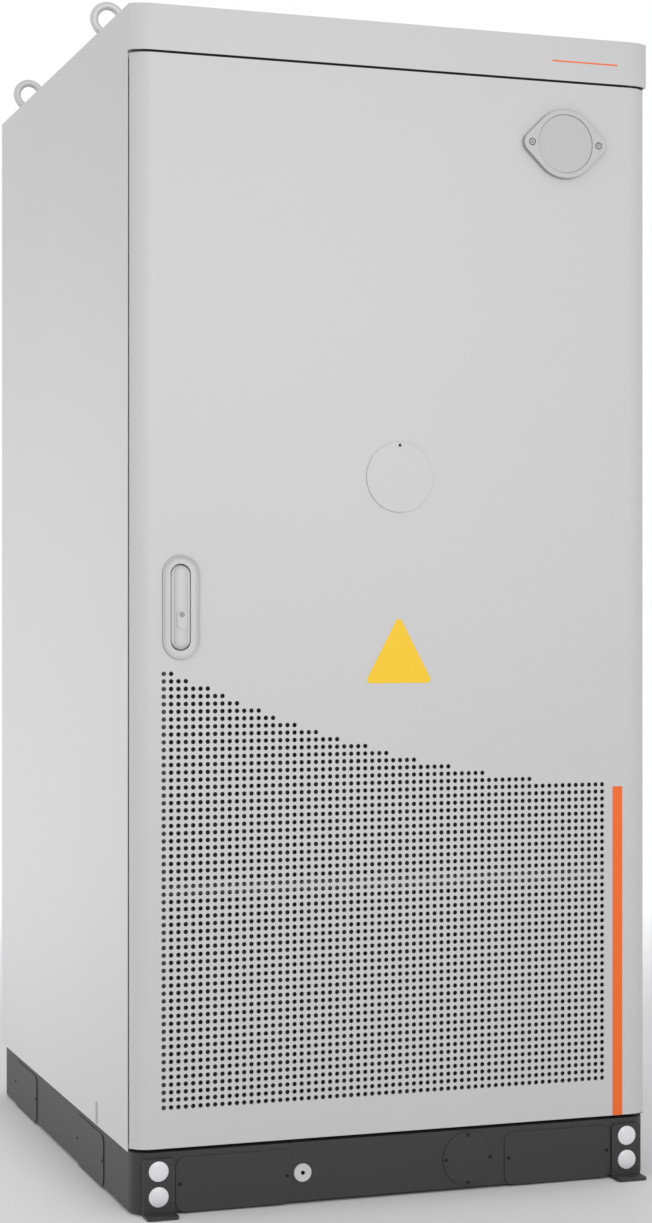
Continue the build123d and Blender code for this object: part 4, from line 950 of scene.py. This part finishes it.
@dataclass
class Roof:
    """Hood with a black strip that paints shade into the gap below it, its accent line, and lifting eyes, in
    millimetres.
    """

    hood_recess: float = 14.0
    shade_strip_y: Point = (-646.0, -641.0)
    shade_strip_drop: float = 3.0
    line_x: Point = (332.0, 478.0)
    line_z: Point = (2293.4, 2296.4)
    line_thick: float = 0.2
    eye_x: float = 514.0
    eye_y: Point = (-305.0, 505.0)
    eye_rise: float = 44.0
    ring_radius: float = 28.4
    wire: float = 16.8
    wire_steps: int = 20
    collar: Profile = ((20, 0), (20, 6.4), (19.4, 7.5), (18, 8), (13, 8.6))
    neck: Profile = ((10, 10.5), (8.6, 13), (8.2, 17), (8, 21))

    def build_hood(self) -> None:
        """Smooth bowed hood over the door; its floor lies above the wall's edge, so the gap is dark, and a black
        strip behind the gap is painted shade that darkens it further.
        """
        outside = SIZE.half_width - SIZE.skin
        outer = SIZE.bow(SIZE.crease, SIZE.hood_radius) + [(outside, SIZE.crease), (outside, SIZE.frame_front)]
        inner = SIZE.bow(SIZE.crease - SIZE.skin / 2, SIZE.hood_radius, SIZE.skin)
        inner.append((outside - SIZE.skin, SIZE.frame_front))
        ring = [*to_left(outer), *outer, *reversed(inner), *reversed(to_left(inner))]
        wall = prism(ring, SIZE.hood_low, SIZE.hood_high)
        level = SIZE.hood_low + self.hood_recess
        floor = prism(to_left(inner) + inner, level, level + SIZE.skin)
        piece("hood", wall + floor, "cabinet", "light_powder_coat", "fascia")
        # painted shade: a black rubber strip set behind the gap under the hood, so that the gap reads dark
        seal = block((-SIZE.flat_x, SIZE.flat_x), self.shade_strip_y, (SIZE.hood_low - self.shade_strip_drop, level))
        piece("hood_gap_shade_strip", seal, "cabinet", "rubber")
        line = block(self.line_x, (SIZE.front - self.line_thick, SIZE.front), self.line_z)
        piece("accent_line", line, "cabinet", "orange_plastic", finish=ACCENT)

    def eye(self, x: float, y: float) -> Surface:
        """Lifting eye: a ring of round wire on a turned neck and collar.

        Args:
            x: place across.
            y: place in depth.
        Returns:
            The closed forms.
        """
        turn = np.linspace(0, 2 * math.pi, self.wire_steps, endpoint=False)
        wire = [(self.ring_radius + self.wire / 2 * math.cos(t), self.wire / 2 * math.sin(t)) for t in turn]
        ring = turned(wire, (x, y, SIZE.top + self.eye_rise), Axis.Y, steps=64, ring=True)
        return turned([*self.collar, *self.neck], (x, y, SIZE.top), Axis.Z, steps=40) + ring

    def build(self) -> None:
        """All pieces of the roof."""
        self.build_hood()
        eyes = joined(self.eye(side * self.eye_x, y) for side in (-1, 1) for y in self.eye_y)
        piece("eye_rings", eyes, "cabinet", "bright_steel", "lifting_eyes", finish=DULL_ZINC)


@dataclass
class Plinth:
    """Covers, screws, foot caps and earth boss, in millimetres; profiles are (inset or radius, height)."""

    front: float = 654.0
    side: float = 546.0
    cover_edge: Profile = ((0, 0), (0, 2), (0.2, 2.35), (0.6, 2.5))
    cover_z: Point = (3.5, 110.0)
    cover_corner: float = 20.0
    front_covers: Point = (226.5, 461.5)
    side_covers: tuple[Point, ...] = ((-412.3, -166.4), (252.0, 501.0))
    screw_inset: float = 9.0
    screw_z: float = 58.5
    screw: Profile = ((3.7, 0), (3.7, 0.6), (3.2, 1), (1.9, 1), (1.7, 0.2))
    hatch: Point = (147.0, 64.0)
    hatch_radius: float = 54.0
    hatch_screws: float = 48.0
    foot: float = 6.0
    cap_x: float = 496.5
    cap_levels: Point = (37.5, 87.0)
    cap_radius: float = 19.5
    cap_rim: float = 1.4
    cap_low: float = 1.5
    cap_rise: float = 3.5
    cap_power: float = 2.4
    cap_top: float = 0.08
    cap_rows: int = 9
    earth: Point = (-203.4, 62.0)
    earth_radius: float = 18.0
    earth_rise: float = 4.0
    earth_bevel: float = 0.8
    thread: float = 3.0
    thread_wall: float = 1.2
    thread_length: float = 14.0
    ridge: float = 0.45
    ridge_start: float = 0.4
    ridge_half_pitch: float = 0.5
    ridge_steps: int = 27
    sleeve_set: float = 0.2
    sleeve_hole: float = 0.3

    @property
    def cover(self) -> float:
        """Thickness of a cover."""
        return self.cover_edge[-1][1]

    def panel(self, start: float, end: float) -> Surface:
        """Cover plate on the middle of the front.

        Args:
            start: one end of the range that it covers.
            end: the other end.
        Returns:
            The closed form.
        """
        low, high = self.cover_z
        outline = rounded_box(0, (low + high) / 2, end - start, high - low, self.cover_corner)
        return plate(outline, -self.front, self.cover_edge)

    def on_both_faces(self, form: Surface, spots: Sequence[Point], seat: float) -> list[Surface]:
        """A front-facing form at each (x, z) on the front, and its mirror image on the back."""
        back = form.mirrored(Axis.Y)
        return [side.moved(x, way * seat, z) for side, way in ((form, -1), (back, 1)) for x, z in spots]

    def build_covers(self) -> None:
        """Cover plates with a softened edge: two on the front and the back, a round one, two on each side."""
        panel = self.panel(*self.front_covers)
        middle = sum(self.front_covers) / 2
        covers = panel.moved(x=middle) + panel.moved(x=-middle)
        covers += covers.mirrored(Axis.Y)
        covers += plate(disc(*self.hatch, self.hatch_radius, steps=96), -self.front, self.cover_edge)
        for start, end in self.side_covers:
            left = self.panel(start, end).sideways().moved(x=self.front - self.side, y=(start + end) / 2)
            covers += left + left.mirrored(Axis.X)
        piece("cover_plates", covers, "cabinet", "dark_powder_coat", "plinth_covers")

    def build_screws(self) -> None:
        """Low round screw heads with a socket, in a near-black that is partly their black and partly painted shade
        of the sockets.
        """
        head = stud(self.screw, (0, 0), 0, steps=18)
        low, high = self.front_covers
        reach = (high - self.screw_inset, low + self.screw_inset)
        face = self.front + self.cover
        screws = self.on_both_faces(head, [(side * x, self.screw_z) for side in (-1, 1) for x in reach], face)
        hatch_x, hatch_z = self.hatch
        for i, j in ((-1, 0), (1, 0), (0, -1), (0, 1)):
            screws.append(head.moved(hatch_x + self.hatch_screws * i, -face, hatch_z + self.hatch_screws * j))
        right = turned(self.screw, (self.side + self.cover, 0, self.screw_z), Axis.X, steps=18)
        for start, end in self.side_covers:
            for y in (start + self.screw_inset, end - self.screw_inset):
                screws += [right.moved(y=y), right.mirrored(Axis.X).moved(y=y)]
        # partly painted shade: the screws are darker than black coat, to stand for their dark sockets
        piece("cover_screws", joined(screws), "cabinet", "black_steel", "plinth_screws", finish=BLACK_AND_HOLE_SHADE)

    def build_caps(self) -> None:
        """White domed caps on the feet, with the height low + rise (1 - u ** power) at share u of the radius."""
        dome = [(self.cap_radius * u, self.cap_low + self.cap_rise * (1 - u**self.cap_power))
                for u in np.linspace(1, self.cap_top, self.cap_rows)]
        cap = stud([(self.cap_radius, 0), (self.cap_radius, self.cap_rim), *dome], (0, 0), 0, steps=48)
        spots = [(side * self.cap_x, z) for side in (-1, 1) for z in self.cap_levels]
        caps = joined(self.on_both_faces(cap, spots, self.front + self.foot))
        piece("foot_caps", caps, "cabinet", "white_plastic", "foot_plugs")

    def build_earth(self) -> None:
        """Earth boss: a bevelled disc on a threaded sleeve, whose radius goes in and out along its length; the
        sleeve's near-black is partly painted shade in the boss's bore.
        """
        rise, bevel, wall = self.earth_rise, self.earth_bevel, self.thread + self.thread_wall
        rim = [(self.earth_radius, 0), (self.earth_radius, rise - bevel), (self.earth_radius - bevel, rise)]
        boss = stud([*rim, (wall, rise), (wall, 0)], self.earth, -self.front, steps=48, ring=True)
        piece("earth_disc", boss, "cabinet", "bright_steel", "earth_boss", finish=DULL_ZINC)
        ridges = [(self.thread + self.ridge * (step % 2), rise - self.ridge_start - self.ridge_half_pitch * step)
                  for step in range(self.ridge_steps)]
        back = rise - self.thread_length
        end = [(self.sleeve_hole, back + self.sleeve_set), (self.sleeve_hole, back), (wall, back)]
        section = [(wall, rise - self.sleeve_set), *ridges, *end]
        sleeve = stud(section, self.earth, -self.front, steps=24, ring=True)
        # partly painted shade: the near-black sleeve makes the bore read dark
        piece("earth_sleeve", sleeve, "cabinet", "black_steel", finish=BLACK_AND_HOLE_SHADE)

    def build(self) -> None:
        """All pieces of the plinth."""
        self.build_covers()
        self.build_screws()
        self.build_caps()
        self.build_earth()


@dataclass
class SideSlits:
    """Edging of the upright slit in each side panel, whose darker grey is painted shade of the slit's recess, in
    millimetres; place is (y, z), slit (width, height).
    """

    place: Point = (-362.0, 147.0)
    slit: Point = (2.0, 44.0)
    lip: float = 10.0
    end_lip: float = 1.0
    proud: float = 0.3

    def build(self) -> None:
        """One flat rounded edging on each side, turned from the front plane to the side plane; its grey paints the
        shade of a recess.
        """
        width, height = self.slit
        level = ((0, 0), (0, self.proud))
        opening = rounded_box(*self.place, width, height, width / 2)
        outer = rounded_box(*self.place, width + 2 * self.lip, height + 2 * self.end_lip, self.lip)
        left = plate(outer, 0, level, [(opening, level)]).sideways().moved(x=-SIZE.half_width)
        piece("slit_shade_edging", left + left.mirrored(Axis.X), "cabinet", "grey_plastic", finish=SLIT_SHADE)


@dataclass
class Fan:
    """Axial rotor with swept, twisted blades; its place and size come from the frame.

    Sizes are in millimetres, angles in degrees, and hub, fill and chord are shares.
    """

    node: str
    body: str
    blades: int = 5
    hub_share: float = 0.34
    bore: float = 6.5
    bore_set: float = 1.0
    nose: float = 6.0
    nose_start: float = 0.35
    nose_rows: int = 8
    thick: float = 2.4
    sweep: float = 38.0
    sweep_power: float = 1.5
    root_pitch: float = 48.0
    tip_pitch: float = 24.0
    root_sink: float = 1.5
    tip_gap: float = 0.5
    fill: float = 0.95
    root_chord: float = 0.75
    chord_gain: float = 0.5
    rows: int = 14
    columns: int = 10

    def blade(self, radius: float, low: float, high: float) -> Surface:
        """One blade about the origin, pointing along X.

        At share s of its length and w from -1/2 to 1/2 across it, the blade lies at radius r from the sunk root to
        the tip, at the angle sweep s ** power + w c cos(pitch) / r and at the depth w c sin(pitch). The chord is
        c = c0 (root + gain s), where c0 fills the rotor's depth, and the pitch runs from root to tip.

        Args:
            radius: tip radius.
            low: front of the rotor.
            high: back of the rotor.
        Returns:
            The closed blade.
        """
        share = np.linspace(0, 1, self.rows)[:, None]
        width = np.linspace(-0.5, 0.5, self.columns)[None, :]
        root = radius * self.hub_share - self.root_sink
        reach = root + share * (radius - self.tip_gap - root)
        pitch = np.radians(self.root_pitch + (self.tip_pitch - self.root_pitch) * share)
        full = (high - low) * self.fill / math.sin(math.radians(self.root_pitch))
        chord = full * (self.root_chord + self.chord_gain * share)
        angle = math.radians(self.sweep) * share**self.sweep_power + width * chord * np.cos(pitch) / reach
        depth = (low + high) / 2 + width * chord * np.sin(pitch)
        x, z = reach * np.cos(angle), reach * np.sin(angle)
        layers = [np.stack([x, depth + side * self.thick / 2, z], axis=-1).reshape(-1, 3) for side in (-1, 1)]
        grid = [face for face in ring_faces(self.rows, self.columns, False) if face[1] == face[0] + 1]
        total = self.rows * self.columns
        number = np.arange(total).reshape(self.rows, self.columns)
        rim = np.concatenate([number[0], number[1:, -1], number[-1, -2::-1], number[-2:0:-1, 0]]).tolist()
        faces = grid + [tuple(i + total for i in face) for face in grid]
        faces += [(a, b, b + total, a + total) for a, b in zip(rim, rim[1:] + rim[:1])]
        return Surface(np.vstack(layers), faces)

    def build(self) -> None:
        """Hub with a domed nose, and the blades round it."""
        low, high = node_box(self.node)
        x, _, z = (low + high) / 2
        radius = (high[0] - low[0]) / 2
        start, end = low[1], high[1]
        hub = radius * self.hub_share
        nose = [(hub * math.sin(t), start + self.nose * (1 - math.cos(t)))
                for t in np.linspace(self.nose_start, math.pi / 2, self.nose_rows)]
        section = [(self.bore, start + self.bore_set), *nose, (hub, end), (self.bore, end)]
        form = turned(section, (x, 0, z), Axis.Y, ring=True)
        blade = self.blade(radius, start, end)
        for turn in np.arange(self.blades) * 2 * math.pi / self.blades:
            spin = np.array([[math.cos(turn), 0, math.sin(turn)], [0, 1, 0], [-math.sin(turn), 0, math.cos(turn)]])
            form += Surface(blade.verts @ spin, blade.faces).moved(x=x, z=z)
        piece(f"{self.node}_rotor", form, self.body, "black_plastic", self.node)


@dataclass
class Inside:
    """Soft parts behind the door skin, placed by the frame's boxes, in millimetres."""

    pleat: float = 12.0
    fold: float = 0.8
    bead: float = 10.0
    bead_round: float = 4.5
    bead_rows: int = 7
    outer_corner: float = 12.0
    inner_corner: float = 3.0

    def build_mats(self) -> None:
        """Filter mats: a zigzag of pleats across each window of the filter frame."""
        low, high = node_box("filter_mat")
        frame_low, frame_high = node_box("filter_frame")
        bar = low[2] - frame_low[2]
        middle = (frame_low[2] + frame_high[2]) / 2
        count = round((high[0] - low[0]) / self.pleat)
        folds = np.linspace(low[0], high[0], 2 * count + 1)
        face = [(x, low[1] if k % 2 else high[1] - self.fold) for k, x in enumerate(folds)]
        loop = face + [(x, y + self.fold) for x, y in reversed(face)]
        mats = prism(loop, low[2], middle - bar / 2) + prism(loop, middle + bar / 2, high[2])
        piece("filter_pleats", mats, "door", "filter_fabric", "filter_mat")

    def build_gasket(self) -> None:
        """Round-backed rubber bead round the leaf: a quarter ellipse on each edge."""
        low, high = node_box("door_gasket")
        width, depth, height = high - low
        middle = (low[2] + high[2]) / 2
        turn = np.linspace(math.pi / 2, 0, self.bead_rows)
        bulge = [(self.bead_round * (1 - math.cos(t)), -depth * math.sin(t)) for t in turn]
        hollow = [(-inset, rise) for inset, rise in bulge]
        outer = rounded_box(0, middle, width, height, self.outer_corner)
        inner = rounded_box(0, middle, width - 2 * self.bead, height - 2 * self.bead, self.inner_corner)
        bead = plate(outer, low[1], bulge, [(inner, hollow)])
        piece("gasket_bead", bead, "door", "rubber", "door_gasket")

    def build(self) -> None:
        """All soft parts."""
        self.build_mats()
        self.build_gasket()


@dataclass(frozen=True)
class SoftLamp:
    """Square area lamp: its place and target in metres, size, spread in degrees and power in watts."""

    name: str
    place: Triple
    target: Triple
    size: float
    spread: float
    power: float

    def build(self) -> None:
        """Make the lamp and turn it to its target."""
        data = bpy.data.lights.new(self.name, "AREA")
        data.shape = "SQUARE"
        data.size = self.size
        data.spread = math.radians(self.spread)
        data.energy = self.power
        lamp = bpy.data.objects.new(self.name, data)
        lamp.location = self.place
        lamp.rotation_euler = (Vector(self.target) - Vector(self.place)).to_track_quat("-Z", "Y").to_euler()
        bpy.context.scene.collection.objects.link(lamp)


@dataclass
class Studio:
    """Floor, world, lamps and camera, in metres."""

    camera_place: Triple = (-1.6967, -5.3547, 1.1805)
    camera_turn: float = -19.473
    lens: float = 73.54
    sensor: float = 36.0
    shift: Point = (-0.0466, -0.0049)
    floor_radius: float = 7.0
    floor_z: float = -0.0002
    floor_steps: int = 96
    fade_slope: float = -0.42
    fade_start: float = 1.75
    world_level: float = 0.70
    world_fall: float = 0.35
    lamps: tuple[SoftLamp, ...] = (
        SoftLamp("SoftFront", (0.3, -6.0, 2.5), (-0.15, -0.6, 1.6), size=2.0, spread=60.0, power=12.0),
        SoftLamp("SoftLeft", (-5.0, 6.5, 1.0), (-0.5, 0.0, 0.8), size=3.5, spread=180.0, power=72.0),
        SoftLamp("LowLeft", (-3.4, 1.6, 0.4), (-0.55, 0.1, 0.25), size=0.6, spread=70.0, power=2.4),
    )

    def build_camera(self) -> None:
        """Camera at the photograph's place."""
        data = bpy.data.cameras.new("Camera")
        data.lens = self.lens
        data.sensor_width = self.sensor
        data.shift_x, data.shift_y = self.shift
        camera = bpy.data.objects.new("Camera", data)
        camera.location = self.camera_place
        camera.rotation_euler = (math.pi / 2, 0, math.radians(self.camera_turn))
        bpy.context.scene.collection.objects.link(camera)
        bpy.context.scene.camera = camera

    def build_floor(self) -> None:
        """Pale round floor that fades into the white surround: at distance d its alpha is slope d + start."""
        turn = np.linspace(0, 2 * math.pi, self.floor_steps, endpoint=False)
        rim = np.column_stack([self.floor_radius * np.cos(turn), self.floor_radius * np.sin(turn)])
        mesh = bpy.data.meshes.new("studio_floor")
        mesh.from_pydata(np.insert(rim, 2, self.floor_z, axis=1).tolist(), [], [tuple(range(self.floor_steps))])
        floor = bpy.data.objects.new("studio_floor", mesh)
        bpy.context.scene.collection.objects.link(floor)
        made = FLOOR.material()
        mesh.materials.append(made)
        graph = Graph(made.node_tree)
        far = graph.node("ShaderNodeVectorMath", "LENGTH")
        graph.link(graph.node("ShaderNodeTexCoord").outputs["Object"], far.inputs[0])
        fade = graph.math("MULTIPLY_ADD", far.outputs["Value"], self.fade_slope, self.fade_start)
        shader = made.node_tree.nodes["Principled BSDF"]
        graph.link(graph.math("MINIMUM", graph.math("MAXIMUM", fade, 0.0), 1.0), shader.inputs["Alpha"])

    def build_world(self) -> None:
        """White surround: full white to the camera and in reflections, softer as a light and dimmer on the right.

        As a light its level along direction d is level (1 - fall max(d.x, 0)).
        """
        world = bpy.data.worlds.new("Studio")
        bpy.context.scene.world = world
        world.use_nodes = True
        graph = Graph(world.node_tree)
        back = world.node_tree.nodes["Background"]
        back.inputs["Color"].default_value = (1, 1, 1, 1)
        path = graph.node("ShaderNodeLightPath")
        seen = graph.math("MAXIMUM", path.outputs["Is Camera Ray"], path.outputs["Is Transmission Ray"])
        seen = graph.math("MAXIMUM", seen, path.outputs["Is Glossy Ray"])
        way = graph.node("ShaderNodeSeparateXYZ", Vector=graph.node("ShaderNodeTexCoord").outputs["Generated"])
        right = graph.math("MAXIMUM", way.outputs["X"], 0.0)
        level = graph.math("MULTIPLY_ADD", right, -self.world_fall * self.world_level, self.world_level)
        graph.link(graph.math("MAXIMUM", seen, level), back.inputs["Strength"])

    def build(self) -> None:
        """The whole studio."""
        self.build_camera()
        self.build_floor()
        self.build_world()
        for lamp in self.lamps:
            lamp.build()
        bpy.context.scene.view_settings.view_transform = "Standard"


def dress_nodes() -> None:
    """Give every CAD node the finish of its material slot."""
    slots = {entry["node"]: entry["material_slot"] for entry in frame["record"]["subparts"]}
    for name, node in frame["nodes"].items():
        made = FINISHES[slots[name]].material()
        if not node.material_slots:
            node.data.materials.append(made)
        for slot in node.material_slots:
            slot.material = made


def main() -> None:
    """Build every part of the scene and log each part as it is built."""
    logging.basicConfig(level=logging.INFO, format="%(name)s %(message)s")
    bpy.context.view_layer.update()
    Studio().build()
    dress_nodes()
    door = (DoorSkin(), Handle(), Marks(), StopCover(), Lamp())
    fans = (Fan("converter_fan_left", "converter_rotor_left"), Fan("converter_fan_right", "converter_rotor_right"),
            Fan("chiller_fan", "chiller_rotor"))
    for part in (*door, Hinges(), Roof(), Plinth(), SideSlits(), Inside(), *fans):
        part.build()
        LOG.info("%s built", type(part).__name__)


if __name__ == "__main__":
    main()
